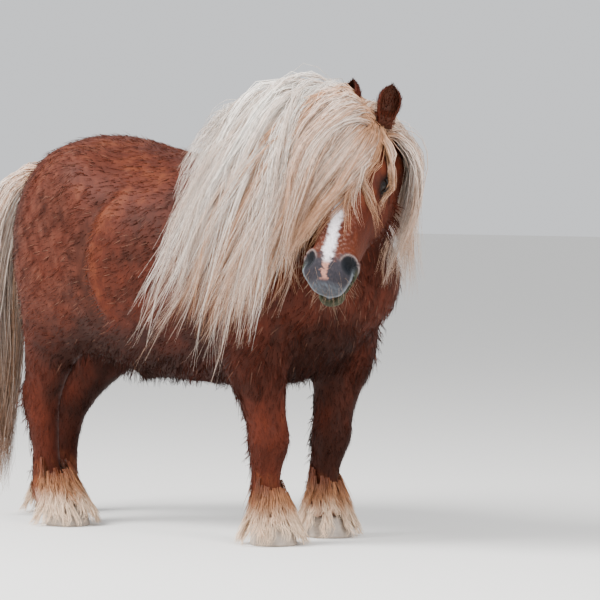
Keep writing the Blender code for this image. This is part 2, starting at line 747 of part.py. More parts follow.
def head_node():
    """The head with its ear roots, eye sockets, lids, nostrils and mouth."""
    head = netted("head", (0.44, -0.42, 0.52), (0.88, 0.16, 1.16), HEAD_VOXEL, 2200)
    added = [ear_root(side) for side in (-1, 1)]
    added += [lid(side, lift, 0) for side in (-1, 1) for lift in (36, -30)]
    joined_with(head, added, "UNION")
    joined_with(head, [head_prism()], "INTERSECT")
    largest_piece(head)
    away = []
    for side in (-1, 1):
        away.append(ball("socket", on_head(EYE_PLACE, side), EYE_RADIUS + GAP + 0.0002))
        turn = HEAD_AXES @ turned(yaw=side * 38, roll=side * -52)
        away.append(ball("nostril", on_head(NOSTRIL_PLACE, side), 1.0, 2, (0.017, 0.0085, 0.013), turn))
    slit = [
        (0.335, -0.08), (0.50, -0.08), (0.50, 0.08), (0.335, 0.08),
        (0.335, 0.030), (0.380, 0.026), (0.392, 0.0), (0.380, -0.026), (0.335, -0.030),
    ]
    flat = np.stack([HEAD_AXES[:, 0], -HEAD_AXES[:, 2], HEAD_AXES[:, 1]], 1)
    away.append(prism(slit, 0.1040, 0.1065, 0.0, flat, POLL))
    joined_with(head, away, "DIFFERENCE")
    return largest_piece(head)


def blanket(name, lines, outs, thick):
    """A closed slab along a row of lines, with a half thickness for each point along them."""
    grid = np.concatenate([lines + outs * thick[None, :, None], (lines - outs * thick[None, :, None])[:, ::-1]], 1)
    return rings_object(name, grid)


def crest_roots(shares, side):
    """Places on the crest, 0 at the withers and 1 at the poll, and the way that the hair leaves them."""
    rows = smooth_rows(
        [
            (0.215, 0.000, 0.965),
            (0.310, 0.003, 1.020),
            (0.420, 0.010, 1.052),
            (0.520, 0.012, 1.046),
            (0.585, -0.012, 1.020),
        ],
        8,
    )
    places = np.stack([np.interp(np.asarray(shares) * (len(rows) - 1), range(len(rows)), rows[:, i]) for i in range(3)], 1)
    return places, unit(np.array([-0.10, side * 0.9, 0.55])) + np.zeros_like(places)


def ear_room(points):
    """Distance to the space that each ear takes up."""
    room = np.full(len(points), FAR)
    for side in (-1, 1):
        base, axis, _, _ = ear_frame(side)
        start = base - axis * 0.03
        share = np.clip((points - start) @ axis / (EAR_LENGTH + 0.03), 0, 1)
        away = points - start - np.outer(share, axis) * (EAR_LENGTH + 0.03)
        room = np.minimum(room, np.linalg.norm(away, axis=1) - 0.034)
    return room


def eye_room(points):
    """Distance to the two eyeballs."""
    return np.min([np.linalg.norm(points - on_head(EYE_PLACE, s), axis=1) - EYE_RADIUS for s in (-1, 1)], 0)


def forelock_room(points):
    return np.minimum(np.minimum(flesh(points, HEAD_SHAPES), ear_room(points)), eye_room(points))


def mane_room(points):
    """Distance to the body, with room kept round the face and ears for the forelock."""
    from_poll = np.linalg.norm(points - np.array(POLL), axis=1)
    room = flesh(points, HEAD_SHAPES) - 0.045 * np.clip((from_poll - 0.06) / 0.08, 0, 1)
    return np.minimum(flesh(points), np.minimum(room, ear_room(points)))


def arched(starts, ways, tips, lifts, rise, distance, steps=6, hang=0.3):
    """Lines for many locks at once: each leaves its root along its way, bends to its tip, and stays clear."""
    starts, tips = np.array(starts, float), np.array(tips, float)
    span = np.linalg.norm(tips - starts, axis=1, keepdims=True)
    first = starts + unit(ways) * span * np.reshape(rise, (-1, 1))
    second = tips + (starts - tips) * 0.25 + np.array([0, 0, hang]) * span
    share = np.linspace(0, 1, steps + 1)
    t = share[:, None, None]
    lines = starts * (1 - t) ** 3 + 3 * first * t * (1 - t) ** 2 + 3 * second * t**2 * (1 - t) + tips * t**3
    wanted = np.outer(np.minimum(1, share * 2.2), lifts)
    shape = lines.shape
    outs = np.zeros(shape)
    for turn in range(6):
        flat = lines.reshape(-1, 3)
        slope = outward(flat, distance, 0.004).reshape(shape)
        steep = np.linalg.norm(slope, axis=2, keepdims=True) > 0.2
        outs = np.where(steep, unit(slope), outs)
        short = wanted - distance(flat).reshape(shape[:2])
        lines[1:] += (outs * np.clip(short, 0, 0.05)[:, :, None])[1:]
        if turn < 4:
            lines[1:-1] = lines[1:-1] * 0.5 + (lines[:-2] + lines[2:]) * 0.25
    return lines.transpose(1, 0, 2), outs.transpose(1, 0, 2)


def waved(lines, outs, size, rng):
    """Lines that sway sideways more and more towards their tips."""
    ways = unit(np.gradient(lines, axis=1))
    across = unit(np.cross(outs, ways))
    share = np.linspace(0, 1, lines.shape[1])
    turns = rng.uniform(4, 7, (len(lines), 1)) * share + rng.uniform(0, 6, (len(lines), 1))
    return lines + across * (np.sin(turns) * share * size)[:, :, None]


def locks(lines, outs, wide, thick, turn=0.0):
    """A flat bar for each line, widest a third of the way along it and drawn out to its tip."""
    share = np.linspace(0, 1, lines.shape[1])
    form = np.interp(share, [0, 0.12, 0.35, 0.7, 0.9, 1], [0.55, 0.85, 1.0, 0.72, 0.36, 0.05])
    made = []
    for line, out, half, deep in zip(lines, outs, wide, thick):
        ways = unit(np.gradient(line, axis=0))
        across = unit(np.cross(out, ways)) + out * turn
        made.append(bar("lock", line, across, half * form, np.maximum(deep * form, 0.0006)))
    return made


def by_share(table, shares):
    """Rows of a table read off between its rows. The first column holds the share of each."""
    table = np.array(table, float)
    return np.stack([np.interp(shares, table[:, 0], column) for column in table.T[1:]], 1)


# Where the mane's hair ends, by its root's share of the crest: forward, left and up
MANE_TIPS_RIGHT = [
    (0.00, 0.190, -0.215, 0.870),
    (0.12, 0.245, -0.265, 0.790),
    (0.25, 0.300, -0.290, 0.660),
    (0.40, 0.110, -0.295, 0.530),
    (0.60, 0.130, -0.270, 0.440),
    (0.75, 0.300, -0.285, 0.400),
    (0.88, 0.440, -0.310, 0.500),
    (1.00, 0.520, -0.290, 0.610),
]
MANE_TIPS_LEFT = [
    (0.00, 0.230, 0.215, 0.810),
    (0.30, 0.330, 0.240, 0.720),
    (0.60, 0.430, 0.230, 0.660),
    (0.85, 0.530, 0.175, 0.650),
    (1.00, 0.590, 0.100, 0.640),
]


def mane_lines(side, count, lift, reach, rise, rng, steps=4):
    """Lines for one layer of the mane on one side of the neck."""
    shares = (np.arange(count) + rng.uniform(0.25, 0.75, count)) / count * 0.78 + 0.06
    starts, _ = crest_roots(shares, side)
    starts = starts - (0, side * 0.008, 0.002)
    tips = by_share(MANE_TIPS_RIGHT if side < 0 else MANE_TIPS_LEFT, shares)
    tips = starts + (tips - starts) * np.reshape(reach * rng.uniform(0.9, 1.08, count), (-1, 1))
    tips = tips + rng.uniform(-0.022, 0.022, (count, 3))
    ways = np.array([-0.10, side * 0.55, 0.85]) + np.zeros((count, 3))
    return arched(starts, ways, tips, np.full(count, lift), np.full(count, rise), mane_room, steps)


def mane(side, rng):
    """The mane on one side as a thin core with layers of locks over it, the top ones arched the highest."""
    layers = [(7, 0.028, 0.95, 0.28), (6, 0.050, 1.0, 0.48)]
    if side > 0:
        layers = [(4, 0.028, 0.92, 0.18), (3, 0.040, 0.96, 0.26)]
    made = []
    for count, lift, reach, rise in layers:
        lines, outs = mane_lines(side, count, lift, reach, rise, rng)
        wide = rng.uniform(0.042, 0.052, count)
        made += locks(waved(lines, outs, 0.008, rng), outs, wide, rng.uniform(0.006, 0.009, count))
    shares = np.linspace(0.08, 0.80, 7)
    starts, _ = crest_roots(shares, side)
    starts = starts - (0, side * 0.010, 0.004)
    tips = by_share(MANE_TIPS_RIGHT if side < 0 else MANE_TIPS_LEFT, shares)
    tips = starts + (tips - starts) * 0.50
    ways = np.array([-0.10, side * 0.9, 0.55]) + np.zeros((7, 3))
    lines, outs = arched(starts, ways, tips, np.full(7, 0.020), np.full(7, 0.12), mane_room, 4)
    thick = np.interp(np.linspace(0, 1, 5), [0, 0.15, 0.7, 1], [0.006, 0.009, 0.008, 0.003])
    return made + [blanket("mane", lines, outs, thick)]


# Where the forelock's locks end on the head: along the face, left of its midline, and out from the forehead
FORELOCK_TIPS = [
    (0.00, 0.200, -0.140, -0.100),
    (0.25, 0.290, -0.140, -0.100),
    (0.50, 0.350, -0.130, -0.090),
    (0.75, 0.350, -0.105, -0.075),
    (0.90, 0.260, -0.075, -0.030),
    (1.00, 0.235, 0.045, -0.012),
]


def forelock(rng):
    """The forelock's locks, swept from between the ears across the forehead to the right cheek."""
    made = []
    for count, lift, size in ((4, 0.014, 1.1), (4, 0.026, 1.1)):
        shares = (np.arange(count) + rng.uniform(0.3, 0.7, count)) / count
        starts = np.array([on_head((-0.004 + 0.006 * s, -0.014 + 0.030 * s, -0.032)) for s in shares])
        tips = np.array([on_head(tip) for tip in by_share(FORELOCK_TIPS, shares)])
        tips = tips + rng.uniform(-0.008, 0.008, (count, 3))
        ways = np.array([HEAD_AXES @ (0.15, -0.15, 1.0) for _ in shares])
        lines, outs = arched(starts, ways, tips, np.full(count, lift), np.full(count, 0.24), forelock_room, 4, 0.05)
        wide = rng.uniform(0.024, 0.029, count) * size
        made += locks(waved(lines, outs, 0.003, rng), outs, wide, np.full(count, 0.005))
    return made


TAIL_LINE = [
    (-0.590, 0.000, 0.900, 0.022, 0.022),
    (-0.640, -0.006, 0.885, 0.045, 0.036),
    (-0.690, -0.024, 0.800, 0.066, 0.046),
    (-0.712, -0.045, 0.640, 0.080, 0.052),
    (-0.712, -0.062, 0.460, 0.086, 0.052),
    (-0.700, -0.074, 0.270, 0.074, 0.044),
    (-0.685, -0.082, 0.120, 0.045, 0.030),
    (-0.672, -0.086, 0.050, 0.014, 0.012),
]


def tail_hair(rng):
    """A slim core, and long locks side by side round it down to the tail's end."""
    rows = smooth_rows(TAIL_LINE, 2)
    ways = unit(np.gradient(rows[:, :3], axis=0))
    side = np.array([0.25, 1.0, 0.0])
    across = unit(side - ways * (ways @ side)[:, None])
    deep = np.cross(ways, across)
    turns = np.arange(6) / 6 * 2 * math.pi
    rings = []
    for row, a, d in list(zip(rows, across, deep))[:7]:
        rings.append([row[:3] + a * math.cos(t) * row[3] * 0.72 + d * math.sin(t) * row[4] * 0.72 for t in turns])
    made = [rings_object("tail hair", rings)]
    picks = np.linspace(0, len(rows) - 1, 7)
    middle = np.stack([np.interp(picks, range(len(rows)), rows[:, i]) for i in range(5)], 1)
    a = np.stack([np.interp(picks, range(len(rows)), across[:, i]) for i in range(3)], 1)
    d = np.stack([np.interp(picks, range(len(rows)), deep[:, i]) for i in range(3)], 1)
    lines, outs = [], []
    for turn in np.arange(8) / 8 * 2 * math.pi:
        turn = turn + rng.uniform(-0.15, 0.15)
        size = np.interp(np.linspace(0, 1, 7), [0, 0.2, 1], [0.55, 0.95, 1.0]) * rng.uniform(0.9, 1.05)
        out = a * (math.cos(turn) * middle[:, 3] * size)[:, None] + d * (math.sin(turn) * middle[:, 4] * size)[:, None]
        short = rng.uniform(0.0, 0.14)
        line = middle[:, :3] + out
        line[:, 2] += (line[0, 2] - line[:, 2]) * short
        lines.append(line)
        outs.append(unit(a * (math.cos(turn) / middle[:, 3])[:, None] + d * (math.sin(turn) / middle[:, 4])[:, None]))
    lines, outs = np.array(lines), np.array(outs)
    return made + locks(waved(lines, outs, 0.006, rng), outs, rng.uniform(0.038, 0.044, 8), np.full(8, 0.009))


def feather(name, rng, count=7):
    """The long hair over one hoof as locks that spread from the fetlock to just above the floor."""
    x, y = HOOF_PLACES[name]
    lines, outs = [], []
    for turn in np.arange(count) / count * 2 * math.pi + rng.uniform(0, 0.6):
        back = 0.5 - 0.5 * math.cos(turn)
        low = rng.uniform(0.012, 0.024) + 0.006 * (1 - back)
        spread = rng.uniform(0.0, 0.006) + 0.006 * back
        rows = [(0.022, 0.112), (0.056, 0.098 + 0.012 * back), (0.071 + spread, 0.054), (0.077 + spread, low)]
        way = np.array([math.cos(turn), math.sin(turn), 0])
        drift = np.linspace(0, 1, 4) ** 2 * rng.uniform(-0.008, 0.008)
        cross = np.array([-way[1], way[0], 0])
        line = [np.array((x - 0.010, y, z)) + way * r + cross * d for (r, z), d in zip(rows, drift)]
        lines.append(line)
        outs.append([way + (0, 0, 0.5)] * 2 + [way + (0, 0, 0.2)] * 2)
    form_lines, form_outs = np.array(lines), unit(np.array(outs))
    return locks(form_lines, form_outs, np.full(count, 0.033), np.full(count, 0.0045))


def coloured(made, name, colour, roughness):
    material = bpy.data.materials.get(name) or bpy.data.materials.new(name)
    material.use_nodes = True
    shader = material.node_tree.nodes["Principled BSDF"]
    shader.inputs["Base Color"].default_value = (*colour, 1)
    shader.inputs["Roughness"].default_value = roughness
    shader.inputs["Metallic"].default_value = 0
    made.data.materials.clear()
    made.data.materials.append(material)
    return made


def centred():
    """Every object's mesh moved so that the whole stands on the origin, the middle of its box above it."""
    spots = np.array([tuple(v.co) for made in bpy.data.objects for v in made.data.vertices])
    low, high = spots.min(0), spots.max(0)
    shift = Vector((-(low[0] + high[0]) / 2, -(low[1] + high[1]) / 2, -low[2]))
    for made in bpy.data.objects:
        made.data.transform(Matrix.Translation(shift))


def main():
    for old in list(bpy.data.objects):
        bpy.data.objects.remove(old)
    torso, neck, tail, legs = body_nodes()
    head = head_node()
    ears = [ear("ear_" + word, side) for side, word in ((-1, "right"), (1, "left"))]
    eyes = [ball("eye_" + word, on_head(EYE_PLACE, side), EYE_RADIUS, 2) for side, word in ((-1, "right"), (1, "left"))]
    haired(tail, tail_hair(np.random.default_rng(12)), [torso, *legs.values()])
    for name in HOOF_PLACES:
        haired(legs[name], feather(name, np.random.default_rng(8)), [hoof(name)])
    haired(head, forelock(np.random.default_rng(2)), ears + eyes)
    rng = np.random.default_rng(11)
    haired(neck, mane(-1, rng) + mane(1, rng), [torso, head, *ears])
    for made in bpy.data.objects:
        look = next(look for start, look in LOOKS.items() if made.name.startswith(start))
        coloured(made, *look)
    centred()


if __name__ == "__main__":
    main()
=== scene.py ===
"""A standing chestnut Shetland pony with a blown flaxen mane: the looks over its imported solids.

One skin stands for all the flesh. Over it lie the short coat as tufts, and the mane, forelock, tail and feather as
fine strands gathered into locks. Metres, +X the way the body faces, +Y its left, +Z up.
"""

import math

import bmesh
import bpy
import numpy as np
from bpy.props import FloatProperty, FloatVectorProperty, IntProperty, PointerProperty
from mathutils import Matrix, Vector


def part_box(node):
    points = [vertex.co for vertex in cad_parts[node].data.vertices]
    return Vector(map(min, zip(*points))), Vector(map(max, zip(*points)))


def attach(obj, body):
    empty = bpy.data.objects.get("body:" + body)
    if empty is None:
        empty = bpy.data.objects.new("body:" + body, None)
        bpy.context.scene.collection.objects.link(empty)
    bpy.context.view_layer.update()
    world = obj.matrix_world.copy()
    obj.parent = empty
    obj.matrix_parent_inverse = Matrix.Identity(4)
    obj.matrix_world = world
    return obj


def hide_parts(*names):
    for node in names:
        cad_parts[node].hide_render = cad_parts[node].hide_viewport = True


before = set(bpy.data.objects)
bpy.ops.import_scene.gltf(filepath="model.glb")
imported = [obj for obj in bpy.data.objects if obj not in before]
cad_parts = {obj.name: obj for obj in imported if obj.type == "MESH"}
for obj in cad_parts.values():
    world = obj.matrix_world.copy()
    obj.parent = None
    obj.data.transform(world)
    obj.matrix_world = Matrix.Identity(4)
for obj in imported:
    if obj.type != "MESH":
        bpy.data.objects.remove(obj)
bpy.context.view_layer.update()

bl_info = {
    "name": "Shetland Pony",
    "version": (1, 0, 0),
    "blender": (4, 5, 0),
    "location": "View3D > Sidebar > Pony",
    "description": "Makes the skin, coat, mane, tail, eyes and hooves of a standing Shetland pony",
    "category": "Add Mesh",
}

# Where each hoof stands, and how far forward the middle of each leg lies from inside the body down to the hoof
HOOF_PLACES = {
    "fore_right": (0.385, -0.122),
    "fore_left": (0.331, 0.122),
    "hind_right": (-0.362, -0.122),
    "hind_left": (-0.668, 0.112),
}
LEG_LINES = {
    "fore_right": (0.335, 0.344, 0.352, 0.360, 0.368, 0.374, 0.368, 0.361, 0.361, 0.364, 0.377, 0.382),
    "fore_left": (0.325, 0.336, 0.346, 0.343, 0.339, 0.335, 0.325, 0.315, 0.312, 0.315, 0.324, 0.329),
    "hind_right": (-0.330, -0.335, -0.362, -0.408, -0.440, -0.453, -0.449, -0.442, -0.440, -0.430, -0.395, -0.374),
    "hind_left": (-0.340, -0.360, -0.405, -0.488, -0.565, -0.606, -0.632, -0.647, -0.654, -0.660, -0.666, -0.668),
}
HOOF_HEIGHT = 0.052

# The head hangs from the poll: turn to the right, slope of the face from upright, and lean to one side
POLL = (0.661, -0.101, 1.019)
HEAD_TURN = math.radians(-60)
FACE_SLOPE = math.radians(25)
HEAD_LEAN = math.radians(8)
EYE_PLACE = (0.137, 0.067, -0.043)
EYE_RADIUS = 0.0185
# Locks flatten out above this height
CROWN_HEIGHT = 1.115
# The forelock parts round this ball in front of the left eye
EYE_CLEARING = (0.140, 0.092, 0.000)
EYE_CLEARING_RADIUS = 0.050
EAR_PLACE = (-0.027, 0.046, -0.027)
EAR_LENGTH = 0.086
EAR_HALF_WIDTH = 0.026
NOSTRIL_PLACE = (0.354, 0.048, -0.038)

FAR = 1.0
SKIN_VOXEL = 0.0081

def unit(vector):
    """The vector at length 1, for one vector or for rows of them."""
    vector = np.asarray(vector, float)
    return vector / np.maximum(np.linalg.norm(vector, axis=-1, keepdims=True), 1e-12)


def smooth_least(a, b, blend):
    """The lesser of two distances, rounded over where they are within blend of each other."""
    h = np.maximum(blend - np.abs(a - b), 0) / blend
    return np.minimum(a, b) - h * h * blend / 4


def head_frame():
    """Head axes as columns: along the face to the muzzle, to its left, and out from the forehead."""
    level = np.array([math.cos(HEAD_TURN), math.sin(HEAD_TURN), 0.0])
    up = np.array([0.0, 0.0, 1.0])
    along = math.sin(FACE_SLOPE) * level - math.cos(FACE_SLOPE) * up
    out = math.cos(FACE_SLOPE) * level + math.sin(FACE_SLOPE) * up
    left = np.cross(out, along)
    leaned_along = math.cos(HEAD_LEAN) * along - math.sin(HEAD_LEAN) * left
    leaned_left = math.cos(HEAD_LEAN) * left + math.sin(HEAD_LEAN) * along
    return np.stack([leaned_along, leaned_left, out], axis=1)


HEAD_AXES = head_frame()


def on_head(place, side=1):
    """The world place of a point given from the poll along the head's own axes. Side -1 is the right."""
    local = np.array(place, float) * (1, side, 1)
    return np.array(POLL) + HEAD_AXES @ local


class Tube:
    """A bent bar of oval section. Stations hold x, y, z, half width along side, and half depth across it."""

    def __init__(self, stations, side, blend=0.02, cap=None, power=2.0, axes=None):
        stations = np.array(stations, float)
        side = np.array(side, float)
        if axes is not None:
            stations[:, :3] = np.array(POLL) + stations[:, :3] @ axes.T
            side = axes @ side
        self.rows = smooth_rows(stations, 4)
        self.side = side
        self.blend = blend
        self.power = power
        self.caps = self.rows[:, 3:].min(1)
        if cap is not None:
            steps = np.linalg.norm(np.diff(self.rows[:, :3], axis=0), axis=1)
            along = np.concatenate([[0], np.cumsum(steps)])
            self.caps = np.minimum(self.caps, cap + np.minimum(along, along[-1] - along))
        reach = self.rows[:, 3:].max() * 1.2
        self.low = self.rows[:, :3].min(0) - reach
        self.high = self.rows[:, :3].max(0) + reach

    def distance(self, points):
        found = np.full(len(points), FAR)
        for a, b, cap_a, cap_b in zip(self.rows[:-1], self.rows[1:], self.caps[:-1], self.caps[1:]):
            along = unit(b[:3] - a[:3])
            length = np.linalg.norm(b[:3] - a[:3])
            side = unit(self.side - along * (self.side @ along))
            deep = np.cross(along, side)
            reach = max(a[3:].max(), b[3:].max()) * 1.15 + self.blend + 0.01
            low = np.minimum(a[:3], b[:3]) - reach
            high = np.maximum(a[:3], b[:3]) + reach
            near = ((points > low) & (points < high)).all(1)
            if not near.any():
                continue
            offset = points[near] - a[:3]
            t = np.clip(offset @ along / length, 0, 1)
            offset = offset - np.outer(t * length, along)
            wide = a[3] + (b[3] - a[3]) * t
            thick = a[4] + (b[4] - a[4]) * t
            cap = cap_a + (cap_b - cap_a) * t
            p = self.power
            norm = (
                np.abs(offset @ side / wide) ** p
                + np.abs(offset @ deep / thick) ** p
                + np.abs(offset @ along / cap) ** p
            ) ** (1 / p)
            norm = np.maximum(norm, 1e-3)
            radial = np.linalg.norm(offset, axis=1)
            found[near] = np.minimum(found[near], radial - radial / norm)
        return found


class Oval:
    """A turned ellipsoid: centre, three half sizes, and its axes as columns."""

    def __init__(self, centre, half, axes=None, blend=0.03, head=None):
        self.centre = np.array(centre, float)
        self.axes = np.eye(3) if axes is None else np.array(axes, float)
        if head is not None:
            self.centre = np.array(POLL) + head @ self.centre
            self.axes = head @ self.axes
        self.half = np.array(half, float)
        self.blend = blend
        self.low = self.centre - self.half.max()
        self.high = self.centre + self.half.max()

    def distance(self, points):
        local = (points - self.centre) @ self.axes
        norm = np.maximum(np.linalg.norm(local / self.half, axis=1), 1e-3)
        radial = np.linalg.norm(local, axis=1)
        return radial - radial / norm


def smooth_rows(rows, fine):
    """Rows of numbers with so many steps between each pair, on a smooth curve through them all."""
    rows = np.asarray(rows, float)
    ends = np.vstack([2 * rows[0] - rows[1], rows, 2 * rows[-1] - rows[-2]])
    made = []
    for p0, p1, p2, p3 in zip(ends[:-3], ends[1:-2], ends[2:-1], ends[3:]):
        for t in np.arange(fine) / fine:
            made.append(
                0.5
                * (
                    2 * p1
                    + (p2 - p0) * t
                    + (2 * p0 - 5 * p1 + 4 * p2 - p3) * t**2
                    + (3 * p1 - p0 - 3 * p2 + p3) * t**3
                )
            )
    return np.array([*made, rows[-1]])


def turned(yaw=0.0, pitch=0.0, roll=0.0):
    """Axes as columns, turned by degrees about Z, then Y, then X."""
    turn = (
        Matrix.Rotation(math.radians(yaw), 3, "Z")
        @ Matrix.Rotation(math.radians(pitch), 3, "Y")
        @ Matrix.Rotation(math.radians(roll), 3, "X")
    )
    return np.array(turn)


def torso_shapes():
    """Barrel, chest, withers and croup, from the breast to the buttocks."""
    barrel = [
        (0.445, 0, 0.690, 0.150, 0.190),
        (0.350, 0, 0.688, 0.212, 0.280),
        (0.220, 0, 0.676, 0.240, 0.306),
        (0.060, 0, 0.660, 0.262, 0.286),
        (-0.080, 0, 0.667, 0.272, 0.288),
        (-0.200, 0, 0.694, 0.262, 0.282),
        (-0.330, 0, 0.745, 0.240, 0.253),
        (-0.425, 0, 0.778, 0.196, 0.203),
        (-0.475, 0, 0.792, 0.140, 0.158),
    ]
    shapes = [Tube(barrel, (0, 1, 0), cap=0.075, power=2.25)]
    shapes.append(Oval((0.15, 0, 0.88), (0.13, 0.07, 0.090), blend=0.06))
    shapes.append(Oval((0.43, 0, 0.60), (0.10, 0.14, 0.13), blend=0.05))
    for side in (-1, 1):
        shapes.append(Oval((0.32, side * 0.150, 0.72), (0.135, 0.100, 0.22), turned(pitch=18), 0.05))
        shapes.append(Oval((0.440, side * 0.115, 0.64), (0.105, 0.115, 0.130), blend=0.05))
        shapes.append(Oval((-0.26, side * 0.165, 0.84), (0.11, 0.075, 0.11), blend=0.06))
        shapes.append(Oval((-0.395, side * 0.105, 0.75), (0.135, 0.105, 0.20), turned(pitch=8), 0.05))
    shapes.append(Oval((-0.18, 0, 0.410), (0.060, 0.030, 0.034), blend=0.03))
    dock = [(-0.50, 0, 0.905, 0.050, 0.045), (-0.575, 0, 0.900, 0.036, 0.036), (-0.625, 0, 0.850, 0.026, 0.028)]
    shapes.append(Tube(dock, (0, 1, 0), blend=0.03))
    return shapes


def fore_leg_shapes(name):
    """Forearm, knee, cannon, fetlock and pastern of one fore leg."""
    side = 1 if name.endswith("left") else -1
    rows = [
        (0.000, side * 0.128, 0.660, 0.070, 0.090),
        (0.000, side * 0.150, 0.560, 0.094, 0.112),
        (0.000, side * 0.154, 0.460, 0.084, 0.096),
        (0.000, side * 0.138, 0.370, 0.062, 0.068),
        (0.000, side * 0.130, 0.305, 0.052, 0.055),
        (0.000, side * 0.127, 0.255, 0.053, 0.057),
        (0.000, side * 0.126, 0.212, 0.045, 0.048),
        (0.000, side * 0.125, 0.165, 0.038, 0.043),
        (0.000, side * 0.124, 0.120, 0.039, 0.046),
        (0.000, side * 0.123, 0.094, 0.045, 0.053),
        (0.000, side * 0.122, 0.064, 0.045, 0.048),
        (0.000, side * 0.122, 0.052, 0.046, 0.047),
    ]
    rows = [(x, *row[1:]) for x, row in zip(LEG_LINES[name], rows)]
    return [Tube(rows, (0, 1, 0), blend=0.035, cap=0.012)]


def hind_leg_shapes(name):
    """Thigh, gaskin, hock, cannon, fetlock and pastern of one hind leg."""
    side = 1 if name.endswith("left") else -1
    rows = [
        (0.000, side * 0.115, 0.740, 0.080, 0.110),
        (0.000, side * 0.140, 0.640, 0.105, 0.165),
        (0.000, side * 0.146, 0.540, 0.088, 0.132),
        (0.000, side * 0.140, 0.440, 0.064, 0.086),
        (0.000, side * 0.132, 0.360, 0.048, 0.064),
        (0.000, side * 0.129, 0.315, 0.045, 0.060),
        (0.000, side * 0.127, 0.262, 0.041, 0.049),
        (0.000, side * 0.125, 0.190, 0.037, 0.042),
        (0.000, side * 0.123, 0.130, 0.039, 0.046),
        (0.000, side * 0.122, 0.096, 0.045, 0.053),
        (0.000, side * 0.121, 0.064, 0.045, 0.049),
        (0.000, side * 0.120, 0.052, 0.046, 0.047),
    ]
    rows = [(x, *row[1:]) for x, row in zip(LEG_LINES[name], rows)]
    hock = np.array(rows[5][:3])
    stifle = (rows[2][0] + 0.105, side * 0.152, 0.545)
    return [
        Tube(rows, (0, 1, 0), blend=0.045, cap=0.012),
        Oval(hock + (-0.040, 0, 0.022), (0.026, 0.023, 0.042), turned(pitch=-14), 0.025),
        Oval(stifle, (0.070, 0.070, 0.095), blend=0.05),
    ]


def neck_shapes():
    """A deep, crested neck, bent to the right where it meets the turned head."""
    rows = [
        (0.250, 0.000, 0.800, 0.150, 0.190),
        (0.370, 0.006, 0.850, 0.138, 0.205),
        (0.470, 0.016, 0.890, 0.116, 0.175),
        (0.545, 0.016, 0.918, 0.098, 0.140),
        (0.592, -0.006, 0.935, 0.082, 0.108),
        (0.618, -0.038, 0.940, 0.070, 0.088),
    ]
    crest = [
        (0.200, 0.000, 0.930, 0.060, 0.065),
        (0.310, 0.003, 0.990, 0.054, 0.060),
        (0.420, 0.010, 1.026, 0.050, 0.054),
        (0.520, 0.012, 1.026, 0.044, 0.046),
        (0.590, -0.014, 1.008, 0.038, 0.040),
        (0.632, -0.058, 0.994, 0.036, 0.034),
    ]
    return [
        Tube(rows, (0, 1, 0), blend=0.06),
        Tube(crest, (0, 1, 0), blend=0.05),
    ]


def head_shapes():
    """Skull, cheeks, nose and muzzle along the face, before the openings are cut."""
    skull = [
        (0.015, 0, -0.070, 0.058, 0.062),
        (0.070, 0, -0.075, 0.074, 0.080),
        (0.135, 0, -0.078, 0.082, 0.090),
        (0.195, 0, -0.074, 0.072, 0.082),
        (0.255, 0, -0.068, 0.060, 0.070),
        (0.310, 0, -0.068, 0.055, 0.059),
        (0.355, 0, -0.071, 0.056, 0.052),
        (0.382, 0, -0.075, 0.048, 0.044),
    ]
    shapes = [Tube(skull, (0, 1, 0), 0.02, cap=0.034, power=2.3, axes=HEAD_AXES)]
    for side in (-1, 1):
        jaw = [
            (0.055, side * 0.052, -0.130, 0.022, 0.060),
            (0.140, side * 0.050, -0.152, 0.024, 0.056),
            (0.205, side * 0.042, -0.140, 0.022, 0.044),
            (0.270, side * 0.029, -0.120, 0.019, 0.026),
            (0.340, side * 0.018, -0.112, 0.018, 0.020),
        ]
        shapes += [
            Tube(jaw, (0, 1, 0), 0.028, axes=HEAD_AXES),
            Oval((0.150, side * 0.050, -0.125), (0.085, 0.033, 0.078), blend=0.025, head=HEAD_AXES),
            Oval((0.132, side * 0.062, -0.028), (0.044, 0.017, 0.018), turned(yaw=side * -8), 0.03, HEAD_AXES),
            Oval((0.354, side * 0.043, -0.052), (0.036, 0.023, 0.029), turned(yaw=side * 12), 0.026, HEAD_AXES),
        ]
    return shapes + [
        Oval((0.386, 0, -0.070), (0.030, 0.045, 0.034), turned(pitch=-12), 0.014, HEAD_AXES),
        Oval((0.403, 0, -0.114), (0.030, 0.035, 0.022), turned(pitch=-10), 0.006, HEAD_AXES),
        Oval((0.368, 0, -0.130), (0.030, 0.030, 0.022), blend=0.014, head=HEAD_AXES),
        Oval((0.050, 0, -0.135), (0.075, 0.056, 0.070), blend=0.04, head=HEAD_AXES),
    ]


def trunk_shapes():
    shapes = torso_shapes()
    for name in HOOF_PLACES:
        shapes += fore_leg_shapes(name) if name.startswith("fore") else hind_leg_shapes(name)
    return shapes + neck_shapes()


HEAD_SHAPES = head_shapes()
SHAPES = trunk_shapes() + HEAD_SHAPES


def flesh(points, shapes=None):
    """Distance out from the coat's surface at each point, less than 0 inside it."""
    found = np.full(len(points), FAR)
    for shape in SHAPES if shapes is None else shapes:
        reach = shape.blend + 0.03
        near = ((points > shape.low - reach) & (points < shape.high + reach)).all(1)
        if near.any():
            found[near] = smooth_least(found[near], shape.distance(points[near]), shape.blend)
    return found


def outward(points, distance=flesh, step=0.001):
    """The way out from the surface at each point, at length 1 where the distance is true."""
    made = np.empty_like(points)
    for axis in range(3):
        shift = np.zeros(3)
        shift[axis] = step
        made[:, axis] = (distance(points + shift) - distance(points - shift)) / (2 * step)
    return made


